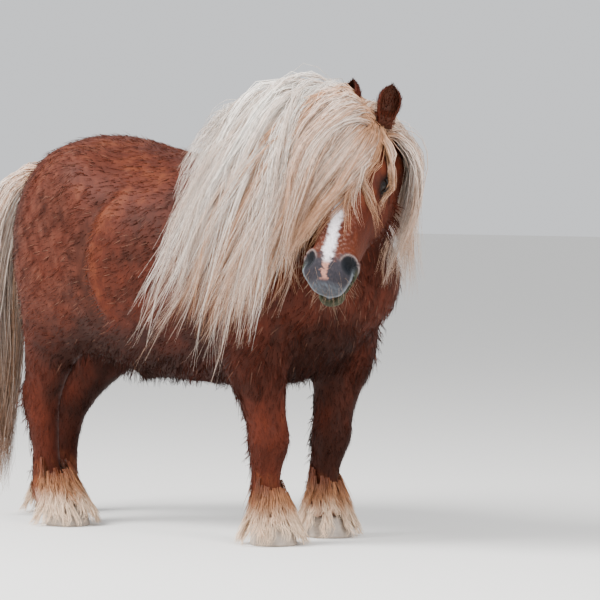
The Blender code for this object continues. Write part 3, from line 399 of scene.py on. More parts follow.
def grid_field(low, high, voxel, distance):
    """Distances on a grid, worked out only near the surface, and far values of the right sign elsewhere."""
    coarse = 4
    cells = np.ceil((np.array(high) - low) / (voxel * coarse)).astype(int)
    nodes = np.stack(np.meshgrid(*[np.arange(n + 1) for n in cells], indexing="ij"), -1)
    rough = distance(low + nodes.reshape(-1, 3) * voxel * coarse).reshape(nodes.shape[:3])
    near = np.abs(rough) < 2.2 * voxel * coarse
    fine_near = near.repeat(coarse, 0).repeat(coarse, 1).repeat(coarse, 2)
    field = rough.repeat(coarse, 0).repeat(coarse, 1).repeat(coarse, 2)
    places = np.argwhere(fine_near)
    field[fine_near] = distance(low + places * voxel)
    return field


def surface_net(field, low, voxel):
    """Points and quads of the surface where the field is 0, one point for each cell that it crosses."""
    inside = field < 0
    size = np.array(field.shape) - 1
    count = np.zeros(size, np.int8)
    for i in (0, 1):
        for j in (0, 1):
            for k in (0, 1):
                count += inside[i : size[0] + i, j : size[1] + j, k : size[2] + k]
    cells = np.argwhere((count > 0) & (count < 8))
    index = np.full(size, -1)
    index[tuple(cells.T)] = np.arange(len(cells))
    total, hits = np.zeros((len(cells), 3)), np.zeros(len(cells))
    quads = []
    for axis in range(3):
        b, c = np.eye(3, dtype=int)[(axis + 1) % 3], np.eye(3, dtype=int)[(axis + 2) % 3]
        step = np.eye(3, dtype=int)[axis]
        for i in (0, 1):
            for j in (0, 1):
                start = cells + i * b + j * c
                first, last = field[tuple(start.T)], field[tuple((start + step).T)]
                cross = (first < 0) != (last < 0)
                t = first[cross] / (first[cross] - last[cross])
                total[cross] += i * b + j * c + t[:, None] * step
                hits[cross] += 1
        lower = np.take(inside, range(size[axis]), axis)
        upper = np.take(inside, range(1, size[axis] + 1), axis)
        edges = np.argwhere(lower != upper)
        other = [(axis + 1) % 3, (axis + 2) % 3]
        edges = edges[(edges[:, other] > 0).all(1) & (edges[:, other] < size[other]).all(1)]
        quad = np.stack([index[tuple((edges - s).T)] for s in (0 * b, b, b + c, c)], 1)
        flip = ~inside[tuple(edges.T)]
        quad[flip] = quad[flip, ::-1]
        quads.append(quad)
    points = low + (cells + total / hits[:, None]) * voxel
    return points, np.vstack(quads)


def cad_shift():
    """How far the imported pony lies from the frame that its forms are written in, read off one hoof."""
    low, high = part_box("hoof_fore_right")
    middle = (np.array(low) + np.array(high)) / 2
    return np.array([middle[0] - HOOF_PLACES["fore_right"][0], middle[1] - HOOF_PLACES["fore_right"][1], 0.0])


SHIFT = cad_shift()


def linear(hex_colour):
    """An sRGB hex colour as linear red, green and blue."""
    parts = np.array([int(hex_colour[i : i + 2], 16) for i in (1, 3, 5)]) / 255
    return np.where(parts <= 0.04045, parts / 12.92, ((parts + 0.055) / 1.055) ** 2.4)


CHESTNUT = linear("#481A0B")
CHESTNUT_DARK = linear("#290E05")
CHESTNUT_BRIGHT = linear("#643018")
ROAN = linear("#603A2E")
FLAXEN = linear("#FFF6EC")
FLAXEN_TAN = linear("#C0906C")
FLAXEN_BROWN = linear("#8A6246")
WHITE_HAIR = linear("#E4DCE0")
MUZZLE_SLATE = linear("#24282F")
# Painted shade for the insides of the nostrils
NOSTRIL_PAINTED_SHADE = linear("#0F1014")
MUZZLE_PINK = linear("#A37262")
LIP_GREEN = linear("#2E3018")


# small helpers for meshes and node trees


def add_node(tree, kind, values=None, **settings):
    """A node of a tree with its settings, and each input given a value or linked from a socket."""
    node = tree.nodes.new(kind)
    for name, value in settings.items():
        setattr(node, name, value)
    for socket, value in (values or {}).items():
        if isinstance(value, bpy.types.NodeSocket):
            tree.links.new(value, node.inputs[socket])
        else:
            node.inputs[socket].default_value = value
    return node


def new_object(name, points, faces=(), edges=()):
    """An object in the scene from points of the stance frame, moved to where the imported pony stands."""
    mesh = bpy.data.meshes.new(name)
    points = np.asarray(points, float) + SHIFT
    mesh.vertices.add(len(points))
    mesh.vertices.foreach_set("co", points.astype(np.float32).ravel())
    if len(faces):
        faces = np.asarray(faces)
        mesh.loops.add(faces.size)
        mesh.loops.foreach_set("vertex_index", faces.ravel().astype(np.int32))
        mesh.polygons.add(len(faces))
        mesh.polygons.foreach_set("loop_start", np.arange(0, faces.size, faces.shape[1], dtype=np.int32))
    if len(edges):
        mesh.edges.add(len(edges))
        mesh.edges.foreach_set("vertices", np.asarray(edges).ravel().astype(np.int32))
    mesh.update(calc_edges=True)
    made = bpy.data.objects.new(name, mesh)
    bpy.context.scene.collection.objects.link(made)
    return made


def set_attribute(mesh, name, kind, values, domain="POINT"):
    """A named attribute on a mesh from rows of numbers."""
    attribute = mesh.attributes.new(name, kind, domain)
    field = {"FLOAT": "value", "FLOAT_VECTOR": "vector", "FLOAT_COLOR": "color", "FLOAT2": "vector"}[kind]
    values = np.asarray(values, float)
    if kind == "FLOAT_COLOR" and values.shape[1] == 3:
        values = np.hstack([values, np.ones((len(values), 1))])
    attribute.data.foreach_set(field, values.astype(np.float32).ravel())


def vertex_places(mesh):
    """A mesh's points in the stance frame."""
    spots = np.empty(len(mesh.vertices) * 3, np.float32)
    mesh.vertices.foreach_get("co", spots)
    return spots.reshape(-1, 3).astype(float) - SHIFT


def smooth_step(low, high, value):
    t = np.clip((np.asarray(value, float) - low) / (high - low), 0, 1)
    return t * t * (3 - 2 * t)


def rough(points, size, seed=0):
    """Smooth noise between about -1 and 1 that changes over so many metres."""
    rng = np.random.default_rng(seed)
    found = np.zeros(len(points))
    for _ in range(5):
        way = unit(rng.normal(size=3)) * rng.uniform(0.7, 1.4) * 2 * math.pi / size
        found += np.sin(points @ way + rng.uniform(0, 6.3) + 0.8 * np.sin(points @ way[[1, 2, 0]] * 0.7))
    return found / 3


# where things are on the pony


def in_head(points):
    """Points along the head's own axes from the poll."""
    return (points - np.array(POLL)) @ HEAD_AXES


def head_share(points):
    """1 on the face, 0 from the neck on back."""
    local = in_head(points)
    return smooth_step(0.03, -0.01, flesh(points, HEAD_SHAPES)) * smooth_step(-0.02, 0.05, local[:, 0])


def coat_depth(points):
    """How deep the coat lies over the skin."""
    low = smooth_step(0.45, 0.30, points[:, 2])
    return 0.0085 - 0.003 * low - 0.0065 * head_share(points)


def flank_fold(points):
    """How far ahead of the flank's fold each point lies, and 1 at the heights and sides where it runs."""
    x, y, z = points.T
    line = np.interp(z, [0.515, 0.617, 0.71, 0.80, 0.857], [-0.06, -0.105, -0.11, -0.08, -0.04])
    here = smooth_step(0.50, 0.57, z) * smooth_step(0.88, 0.80, z) * smooth_step(0.10, 0.16, np.abs(y))
    return x - line, here


def flank_forms(points):
    """A soft ridge down the flank with a hollow behind it."""
    ahead, here = flank_fold(points)
    return here * (0.009 * np.exp(-((ahead / 0.022) ** 2)) - 0.010 * np.exp(-(((ahead + 0.045) / 0.024) ** 2)))


def face_forms(points, outs):
    """The face's nostrils, mouth, lips and eye hollows, as how far each point of the skin moves out."""
    local = in_head(points)
    moved = np.zeros(len(points))
    for side in (-1, 1):
        at = local * (1, side, 1)
        nostril = nostril_oval(at)
        moved -= 0.022 * smooth_step(0.15, -0.75, nostril)
        moved += 0.0042 * np.exp(-(((nostril - 0.24) / 0.18) ** 2)) * nostril_top(at)
        eye = np.linalg.norm(at - np.array(EYE_PLACE), axis=1)
        moved -= 0.006 * smooth_step(0.026, 0.014, eye)
    line = mouth_height(local)
    front = smooth_step(0.315, 0.345, local[:, 0])
    moved -= 0.0060 * np.exp(-((line / 0.0032) ** 2)) * front
    moved += 0.0030 * np.exp(-(((np.abs(line) - 0.0085) / 0.0050) ** 2)) * front
    return moved


def nostril_oval(at):
    """Less than 0 inside a nostril, on a head folded to its left side."""
    centre = np.array(NOSTRIL_PLACE)
    turn = math.radians(28)
    x = (at[:, 0] - centre[0]) * math.cos(turn) + (at[:, 1] - centre[1]) * math.sin(turn)
    y = -(at[:, 0] - centre[0]) * math.sin(turn) + (at[:, 1] - centre[1]) * math.cos(turn)
    z = at[:, 2] - centre[2]
    return np.sqrt((x / 0.024) ** 2 + (y / 0.019) ** 2 + (z / 0.024) ** 2) - 1


def nostril_top(at):
    """1 along the upper and outer part of a nostril's rim, 0 along its lower and inner part."""
    return smooth_step(0.012, -0.010, at[:, 0] - NOSTRIL_PLACE[0] - 0.5 * (at[:, 1] - NOSTRIL_PLACE[1]))


def mouth_height(local):
    """Height above the line between the lips, which drops a little to the sides."""
    return local[:, 2] + 0.100 - 14 * local[:, 1] ** 2


# colours of the coat


def coat_colour(points, outs):
    """The chestnut coat, roan on the quarters, with the marked face and pale feet. Painted light on the back and the
    near legs, painted shade below: under the belly, between the legs, on the far side of the chest and fore leg and in
    the hollow behind the flank's fold, with a painted highlight along that fold.
    """
    z = points[:, 2]
    tone = 0.50 + 0.20 * rough(points, 0.24, 3) + 0.16 * rough(points, 0.07, 4)
    streak = rough(points * (1.5, 1.5, 0.5), 0.030, 6)
    tone += streak * (0.10 + 0.08 * smooth_step(0.40, 0.55, z))
    # Painted light: the lower legs and belly on the near, right side are made brighter.
    tone += 0.18 * smooth_step(0.46, 0.34, z) * (points[:, 1] < 0.05)
    # Painted light: brighter towards the top of the back. Painted shade: darker on the low surfaces that face down,
    # under the belly.
    tone += 0.30 * smooth_step(0.70, 1.00, z) - 0.45 * smooth_step(0.66, 0.45, z) * smooth_step(0.2, -0.8, outs[:, 2])
    # Painted shade: darker between the legs and under the middle of the belly and chest.
    tone -= 0.30 * smooth_step(0.14, 0.03, np.abs(points[:, 1])) * smooth_step(0.60, 0.42, z)
    # Painted shade: darker on the far, left side of the low chest and fore leg.
    tone -= 0.30 * smooth_step(0.15, 0.40, points[:, 0]) * smooth_step(0.55, 0.25, z) * smooth_step(0, 0.1, points[:, 1])
    # Painted highlight along the flank's fold and painted shade in the hollow behind it.
    ahead, here = flank_fold(points)
    tone += here * (0.22 * np.exp(-((ahead / 0.025) ** 2)) - 0.35 * np.exp(-(((ahead + 0.045) / 0.025) ** 2)))
    tone -= 0.38 * smooth_step(-0.28, -0.55, points[:, 0]) * smooth_step(0.56, 0.76, z)
    tone = np.clip(tone, 0, 1.2)[:, None]
    colour = CHESTNUT_DARK + (CHESTNUT - CHESTNUT_DARK) * np.minimum(tone / 0.7, 1)
    colour = colour + (CHESTNUT_BRIGHT - CHESTNUT) * np.clip((tone - 0.7) / 0.5, 0, 1)
    quarters = smooth_step(0.0, -0.35, points[:, 0]) * smooth_step(0.45, 0.60, z) * (0.30 + 0.5 * streak)
    colour = over(colour, 0.5 * quarters + 0.06 * smooth_step(0.45, 0.6, z), ROAN)
    cuff = smooth_step(0.17, 0.09, z + 0.03 * rough(points, 0.03, 5))
    colour = over(colour, cuff * 0.55, linear("#7A4426"))
    colour = over(colour, smooth_step(0.105, 0.065, z) * 0.9, linear("#C9A08A"))
    return face_colour(points, colour)


def over(colour, share, top):
    return colour + (top - colour) * np.clip(share, 0, 1)[:, None]


def face_colour(points, colour):
    local = in_head(points)
    on = head_share(points)
    along, left, out = local.T
    ragged = 0.006 * rough(points, 0.016, 8) + 0.004 * rough(points, 0.006, 9)
    front = smooth_step(-0.085, -0.045, out)
    wide = np.interp(along, [0.165, 0.20, 0.24, 0.29, 0.33, 0.36], [0.0, 0.007, 0.016, 0.013, 0.017, 0.008])
    middle = np.interp(along, [0.15, 0.25, 0.36], [-0.002, 0.000, -0.004])
    stripe = smooth_step(0.006, -0.006, np.abs(left - middle) - 0.85 * wide + ragged * 0.6)
    stripe = stripe * smooth_step(0.150, 0.185, along) * smooth_step(0.372, 0.350, along) * front
    muzzle = smooth_step(0.318, 0.356, along + 0.35 * np.maximum(-out - 0.075, 0) + ragged * 1.5)
    rim = np.minimum(nostril_oval(local), nostril_oval(local * (1, -1, 1)))
    muzzle = np.maximum(muzzle, smooth_step(0.35, 0.15, rim + ragged * 8))
    colour = over(colour, on * 0.45 * smooth_step(0.25, 0.34, along), CHESTNUT_BRIGHT)
    flecks = smooth_step(0.1, 0.9, rough(points, 0.009, 12)) * smooth_step(0.060, 0.015, np.abs(left))
    colour = over(colour, on * flecks * 0.40 * smooth_step(0.12, 0.22, along) * front, linear("#A88478"))
    colour = over(colour, on * stripe, WHITE_HAIR)
    colour = over(colour, on * muzzle * (1 - stripe * 0.9), MUZZLE_SLATE)
    snip = smooth_step(0.010, 0.004, np.abs(left + 0.004) + ragged) * smooth_step(0.35, 0.362, along)
    colour = over(colour, on * snip * smooth_step(0.400, 0.388, along) * front, MUZZLE_PINK)
    folded = local * np.stack([np.ones(len(local)), np.sign(left), np.ones(len(local))], 1)
    top = nostril_top(folded)
    mottled = 0.5 + 0.5 * rough(points, 0.010, 10)
    low = smooth_step(0.393, 0.408, along)
    colour = over(colour, on * muzzle * low * (0.15 + 0.35 * mottled), linear("#5F676F"))
    # Painted highlight on the upper and outer rim of each nostril.
    colour = over(colour, on * np.exp(-(((rim - 0.22) / 0.09) ** 2)) * 0.60 * top, linear("#A08E88"))
    # Painted shade inside the nostrils, deepest under their upper and outer rims.
    colour = over(colour, on * smooth_step(0.16, -0.05, rim) * (0.72 + 0.28 * top), NOSTRIL_PAINTED_SHADE)
    line = mouth_height(local)
    front = smooth_step(0.345, 0.375, along)
    colour = over(colour, on * smooth_step(0.004, -0.004, line) * front * 0.92, LIP_GREEN)
    colour = over(colour, on * np.exp(-(((line - 0.008) / 0.005) ** 2)) * front * 0.45, linear("#98A0A6"))
    # Painted shade in the crease between the lips.
    colour = over(colour, on * np.exp(-((line / 0.0035) ** 2)) * front, linear("#07070A"))
    # Dark round each eye: partly the dark bare skin there, partly painted shade in the eye's hollow.
    for side in (-1, 1):
        away = np.linalg.norm(local * (1, side, 1) - np.array(EYE_PLACE), axis=1)
        colour = over(colour, smooth_step(0.040, 0.022, away) * 0.94, linear("#0C0706"))
    return colour


# the lie, length and bareness of the coat


def coat_lie(points, outs):
    """The way that the coat's hairs lie at each point, along the skin."""
    way = np.tile([-1.0, 0.0, -0.45], (len(points), 1))
    low = smooth_step(0.52, 0.38, points[:, 2])[:, None]
    way = way * (1 - low) + np.array([-0.15, 0, -1.0]) * low
    front = (smooth_step(0.38, 0.50, points[:, 0]) * smooth_step(0.95, 0.80, points[:, 2]))[:, None]
    way = way * (1 - front) + np.array([-0.1, 0, -1.0]) * front
    on = head_share(points)[:, None]
    way = way * (1 - on) + (HEAD_AXES @ np.array([1.0, 0, -0.35])) * on
    turn = 0.30 * np.stack([rough(points, 0.10, 21), rough(points, 0.10, 22), rough(points, 0.10, 23)], 1)
    turn += 0.22 * np.stack([rough(points, 0.03, 24), rough(points, 0.03, 25), rough(points, 0.03, 26)], 1)
    way = unit(way) + turn * (1 - 0.6 * on)
    return unit(way - outs * (way * outs).sum(1, keepdims=True))


def coat_length(points, outs):
    """How long the coat's tufts are, shortest on the face and longest under the belly and behind the legs."""
    x, y, z = points.T
    long = np.full(len(points), 0.023)
    long += 0.020 * smooth_step(0.50, 0.40, z) * smooth_step(-0.4, -0.9, outs[:, 2])
    long += 0.010 * smooth_step(0.62, 0.50, z) * smooth_step(0.25, 0.45, x)
    leg = smooth_step(0.46, 0.36, z)
    long = long * (1 - leg) + (0.017 + 0.016 * smooth_step(0.1, -0.8, outs[:, 0])) * leg
    on = head_share(points)
    local = in_head(points)
    face = 0.0065 + 0.010 * smooth_step(-0.10, -0.15, local[:, 2]) - 0.003 * smooth_step(0.30, 0.36, local[:, 0])
    return (long * (1 - on) + face * on) * (1 + 0.18 * rough(points, 0.05, 31))


def coat_cover(points):
    """1 where the coat grows, 0 on the bare muzzle, in the nostrils and over the eyeballs."""
    local = in_head(points)
    on = head_share(points)
    rim = np.minimum(nostril_oval(local), nostril_oval(local * (1, -1, 1)))
    bare = np.maximum(smooth_step(0.335, 0.352, local[:, 0]), smooth_step(0.22, 0.10, rim))
    for side in (-1, 1):
        away = np.linalg.norm(local * (1, side, 1) - np.array(EYE_PLACE), axis=1)
        bare = np.maximum(bare, smooth_step(0.024, 0.020, away))
    return (1 - on * bare) * (points[:, 2] > 0.058)


def bake_place(points):
    """A place on an unwrap of the skin: trunk, head and each leg rolled off round its own middle."""
    x, y, z = points.T
    local = in_head(points)
    on_face = flesh(points, HEAD_SHAPES) < 0.012
    turn = np.arctan2(y, z - 0.68) / (2 * math.pi) + 0.5
    place = np.stack([0.02 + 0.58 * turn, 0.02 + 0.45 * (x + 0.80) / 1.75], 1)
    roll = np.arctan2(local[:, 1], local[:, 2] + 0.075) / (2 * math.pi) + 0.5
    face = np.stack([0.64 + 0.33 * roll, 0.02 + 0.34 * np.clip((local[:, 0] + 0.12) / 0.60, 0, 1)], 1)
    place[on_face] = face[on_face]
    for slot, (name, line) in enumerate(LEG_LINES.items()):
        side = 1 if name.endswith("left") else -1
        fore = name.startswith("fore")
        mine = (z < 0.46) & (y * side > 0) & ((x > 0) == fore) & (flesh(points, LEG_SHAPES[name]) < 0.012)
        heights = [0.66, 0.56, 0.46, 0.37, 0.305, 0.255, 0.212, 0.165, 0.12, 0.094, 0.064, 0.052]
        middle = np.interp(z, heights[::-1], line[::-1])
        spin = np.arctan2(y - side * 0.125, x - middle) / (2 * math.pi) + 0.5
        leg = np.stack([0.02 + 0.24 * slot + 0.20 * spin, 0.52 + 0.44 * np.clip(z / 0.48, 0, 1)], 1)
        place[mine] = leg[mine]
    return place


LEG_SHAPES = {name: fore_leg_shapes(name) if name.startswith("fore") else hind_leg_shapes(name) for name in HOOF_PLACES}


# Skin


def skin_form(points):
    """Distance out from the skin, which lies inside the coat's surface by the coat's depth."""
    return flesh(points) + coat_depth(points)


def skin_net():
    """The skin's points and faces, with the head's faces cut three times finer."""
    low = np.array((-0.77, -0.44, 0.02))
    field = grid_field(low, (0.92, 0.36, 1.20), SKIN_VOXEL, lambda p: flesh(p) + 0.006)
    points, quads = surface_net(field, low, SKIN_VOXEL)
    made = new_object("skin", points, quads)
    form = bmesh.new()
    form.from_mesh(made.data)
    form.faces.ensure_lookup_table()
    middles = points[quads].mean(1)
    fine = (flesh(middles, HEAD_SHAPES) < 0.012) & (in_head(middles)[:, 0] > -0.01)
    edges = {edge for index in np.flatnonzero(fine) for edge in form.faces[index].edges}
    bmesh.ops.subdivide_edges(form, edges=list(edges), cuts=2, use_grid_fill=True)
    bmesh.ops.triangulate(form, faces=[face for face in form.faces if len(face.verts) > 4])
    form.to_mesh(made.data)
    form.free()
    return made


def smoothed(places, edges, rounds, share=0.5):
    """Points drawn towards the middle of their neighbours."""
    count = np.bincount(edges.ravel(), minlength=len(places))[:, None]
    for _ in range(rounds):
        total = np.zeros_like(places)
        for axis in range(3):
            total[:, axis] = np.bincount(edges[:, 0], places[edges[:, 1], axis], len(places))
            total[:, axis] += np.bincount(edges[:, 1], places[edges[:, 0], axis], len(places))
        places = places * (1 - share) + total / np.maximum(count, 1) * share
    return places


def mesh_outs(mesh, places):
    """The mesh with its points moved to these places, and the ways out at them."""
    mesh.vertices.foreach_set("co", (places + SHIFT).astype(np.float32).ravel())
    mesh.update()
    outs = np.empty(len(places) * 3, np.float32)
    mesh.vertex_normals.foreach_get("vector", outs)
    return outs.reshape(-1, 3).astype(float)


def build_skin():
    """The whole skin, pressed onto its form and then given the face's openings."""
    made = skin_net()
    mesh = made.data
    edges = np.empty(len(mesh.edges) * 2, np.int32)
    mesh.edges.foreach_get("vertices", edges)
    edges = edges.reshape(-1, 2)
    places = vertex_places(mesh)
    for _ in range(4):
        away = skin_form(places)
        places = places - mesh_outs(mesh, places) * np.clip(away, -0.004, 0.004)[:, None]
    places = smoothed(places, edges, 3)
    outs = mesh_outs(mesh, places)
    moved = flank_forms(places)
    near = flesh(places, HEAD_SHAPES) < 0.02
    moved[near] = face_forms(places[near], outs[near])
    places = places + outs * moved[:, None]
    mesh_outs(mesh, places)
    mesh.shade_smooth()
    set_attribute(mesh, "tint", "FLOAT_COLOR", coat_colour(places, outs))
    return made


# Ears


def ear_frame(side):
    """Base, axis, way across and way the cup opens, of the ear on one side."""
    axis = unit(HEAD_AXES @ (-0.88, side * 0.10, 0.40))
    opening = HEAD_AXES @ np.array((0.30, side * 0.50, 0.80))
    opening = unit(opening - axis * (axis @ opening))
    return on_head(EAR_PLACE, side), axis, np.cross(opening, axis), opening


def ear_ring(t, side, count):
    """One level of an ear as a crescent, its back outside and its cup inside. t runs from base to tip."""
    base, axis, across, opening = ear_frame(side)
    half = max(EAR_HALF_WIDTH * (0.80 + 0.95 * t - 0.20 * t**2 - 1.50 * t**4), 0.002) - 0.0015
    deep = half * (0.95 - 0.35 * t)
    wall = min(0.0035 * (1 - 0.5 * t), half * 0.4)
    hollow = min(1.0, max(0.0, (t - 0.04) / 0.16))
    turns = np.linspace(-2.0, 2.0, count)
    chord = 0.9 * (half - wall)
    points = [(math.sin(a) * half, -math.cos(a) * deep) for a in turns]
    for a in turns[::-1]:
        x = math.sin(a) * (half - wall) * hollow + a / 2.0 * chord * (1 - hollow)
        points.append((x, -math.cos(a) * (deep - wall) * hollow + (1 - hollow) * deep * 0.35))
    middle = base + axis * EAR_LENGTH * 0.97 * t - opening * 0.012 * t**2
    return [middle + across * x + opening * y for x, y in points]


def build_ear(side):
    """One ear as a fine crescent shell, closed at its base and tip."""
    levels = np.concatenate([[-0.25, -0.1], np.linspace(0, 1, 30)])
    count = 15
    rings = np.array([ear_ring(max(t, 0), side, count) for t in levels])
    _, axis, _, _ = ear_frame(side)
    rings[0] -= axis * EAR_LENGTH * 0.25
    rings[1] -= axis * EAR_LENGTH * 0.10
    rows, per = rings.shape[:2]
    quads = []
    for r in range(rows - 1):
        i = np.arange(per)
        j = (i + 1) % per
        quads.append(np.stack([r * per + i, r * per + j, (r + 1) * per + j, (r + 1) * per + i], 1))
    made = new_object("ear", rings.reshape(-1, 3), np.vstack(quads))
    form = bmesh.new()
    form.from_mesh(made.data)
    bmesh.ops.holes_fill(form, edges=[edge for edge in form.edges if edge.is_boundary])
    bmesh.ops.triangulate(form, faces=[face for face in form.faces if len(face.verts) > 4])
    bmesh.ops.recalc_face_normals(form, faces=form.faces)
    form.to_mesh(made.data)
    form.free()
    made.data.shade_smooth()
    places = vertex_places(made.data)
    base, axis, across, opening = ear_frame(side)
    inner = (np.arange(len(places)) % per >= count).astype(float)
    height = (places - base) @ axis / EAR_LENGTH
    colour = np.tile(CHESTNUT * 0.9, (len(places), 1))
    colour = over(colour, smooth_step(0.62, 1.0, height) * 0.75, CHESTNUT_DARK * 0.5)
    colour = over(colour, inner * 0.80, linear("#3A2014"))
    set_attribute(made.data, "tint", "FLOAT_COLOR", colour)
    return made


# Node trees for tufts and strands


def geometry_tree(name, sockets):
    """An empty geometry tree with named inputs: each a name, a socket kind and a default."""
    tree = bpy.data.node_groups.new(name, "GeometryNodeTree")
    tree.interface.new_socket("Geometry", in_out="INPUT", socket_type="NodeSocketGeometry")
    tree.interface.new_socket("Geometry", in_out="OUTPUT", socket_type="NodeSocketGeometry")
    for label, kind, default in sockets:
        socket = tree.interface.new_socket(label, in_out="INPUT", socket_type=kind)
        if default is not None:
            socket.default_value = default
    return tree, add_node(tree, "NodeGroupInput"), add_node(tree, "NodeGroupOutput")


def tuft_tree():
    """Sets a thin, bent, three-sided tuft on every point, turned to its lie and grown to its length."""
    tree, start, end = geometry_tree(
        "coat tufts",
        [
            ("Thickness", "NodeSocketFloat", 1.0),
            ("Bend", "NodeSocketFloat", 1.2),
            ("Seed", "NodeSocketInt", 5),
            ("Material", "NodeSocketMaterial", None),
        ],
    )
    cone = add_node(
        tree,
        "GeometryNodeMeshCone",
        {"Vertices": 3, "Side Segments": 2, "Radius Top": 0.0, "Radius Bottom": 0.5, "Depth": 1.0},
        fill_type="NGON",
    )
    spot = add_node(tree, "GeometryNodeInputPosition")
    parts = add_node(tree, "ShaderNodeSeparateXYZ", {0: spot.outputs[0]})
    square = add_node(tree, "ShaderNodeMath", {0: parts.outputs["Z"], 1: 2.0}, operation="POWER")
    bent = add_node(tree, "ShaderNodeMath", {0: square.outputs[0], 1: start.outputs["Bend"]}, operation="MULTIPLY")
    thin = add_node(tree, "ShaderNodeMath", {0: parts.outputs["X"], 1: -0.6}, operation="MULTIPLY")
    across = add_node(tree, "ShaderNodeMath", {0: parts.outputs["Y"], 1: -1.0}, operation="MULTIPLY")
    side = add_node(tree, "ShaderNodeMath", {0: thin.outputs[0], 1: bent.outputs[0]}, operation="SUBTRACT")
    push = add_node(tree, "ShaderNodeCombineXYZ", {"X": side.outputs[0], "Y": across.outputs[0], "Z": parts.outputs["Z"]})
    shaped = add_node(tree, "GeometryNodeSetPosition", {"Geometry": cone.outputs["Mesh"], "Position": push.outputs[0]})
    flat = add_node(tree, "ShaderNodeCombineXYZ", {"X": parts.outputs["Y"], "Y": parts.outputs["Z"]})
    patch = add_node(tree, "ShaderNodeVectorMath", {0: flat.outputs[0], "Scale": 0.003}, operation="SCALE")
    marked = add_node(
        tree,
        "GeometryNodeStoreNamedAttribute",
        {"Geometry": shaped.outputs[0], "Name": "patch", "Value": patch.outputs[0]},
        data_type="FLOAT_VECTOR",
        domain="POINT",
    )
    lie = add_node(tree, "GeometryNodeInputNamedAttribute", {"Name": "lie"}, data_type="FLOAT_VECTOR")
    out = add_node(tree, "GeometryNodeInputNamedAttribute", {"Name": "out"}, data_type="FLOAT_VECTOR")
    size = add_node(tree, "GeometryNodeInputNamedAttribute", {"Name": "size"}, data_type="FLOAT_VECTOR")
    aim = add_node(tree, "FunctionNodeAlignRotationToVector", {"Vector": lie.outputs[0]}, axis="Z")
    roll = add_node(
        tree,
        "FunctionNodeAlignRotationToVector",
        {"Rotation": aim.outputs[0], "Vector": out.outputs[0]},
        axis="X",
        pivot_axis="Z",
    )
    vary = add_node(tree, "FunctionNodeRandomValue", {2: 0.8, 3: 1.25, "Seed": start.outputs["Seed"]}, data_type="FLOAT")
    wide = add_node(tree, "ShaderNodeMath", {0: vary.outputs[1], 1: start.outputs["Thickness"]}, operation="MULTIPLY")
    grow = add_node(tree, "ShaderNodeCombineXYZ", {"X": wide.outputs[0], "Y": wide.outputs[0], "Z": 1.0})
    scale = add_node(tree, "ShaderNodeVectorMath", {0: size.outputs[0], 1: grow.outputs[0]}, operation="MULTIPLY")
    points = add_node(tree, "GeometryNodeMeshToPoints", {"Mesh": start.outputs["Geometry"]})
    spread = add_node(
        tree,
        "GeometryNodeInstanceOnPoints",
        {
            "Points": points.outputs[0],
            "Instance": marked.outputs[0],
            "Rotation": roll.outputs[0],
            "Scale": scale.outputs[0],
        },
    )
    real = add_node(tree, "GeometryNodeRealizeInstances", {0: spread.outputs[0]})
    root = add_node(tree, "GeometryNodeInputNamedAttribute", {"Name": "bake"}, data_type="FLOAT_VECTOR")
    own = add_node(tree, "GeometryNodeInputNamedAttribute", {"Name": "patch"}, data_type="FLOAT_VECTOR")
    place = add_node(tree, "ShaderNodeVectorMath", {0: root.outputs[0], 1: own.outputs[0]}, operation="ADD")
    mapped = add_node(
        tree,
        "GeometryNodeStoreNamedAttribute",
        {"Geometry": real.outputs[0], "Name": "OFBake", "Value": place.outputs[0]},
        data_type="FLOAT2",
        domain="CORNER",
    )
    coated = add_node(tree, "GeometryNodeSetMaterial", {0: mapped.outputs[0], "Material": start.outputs["Material"]})
    tree.links.new(coated.outputs[0], end.inputs[0])
    return tree


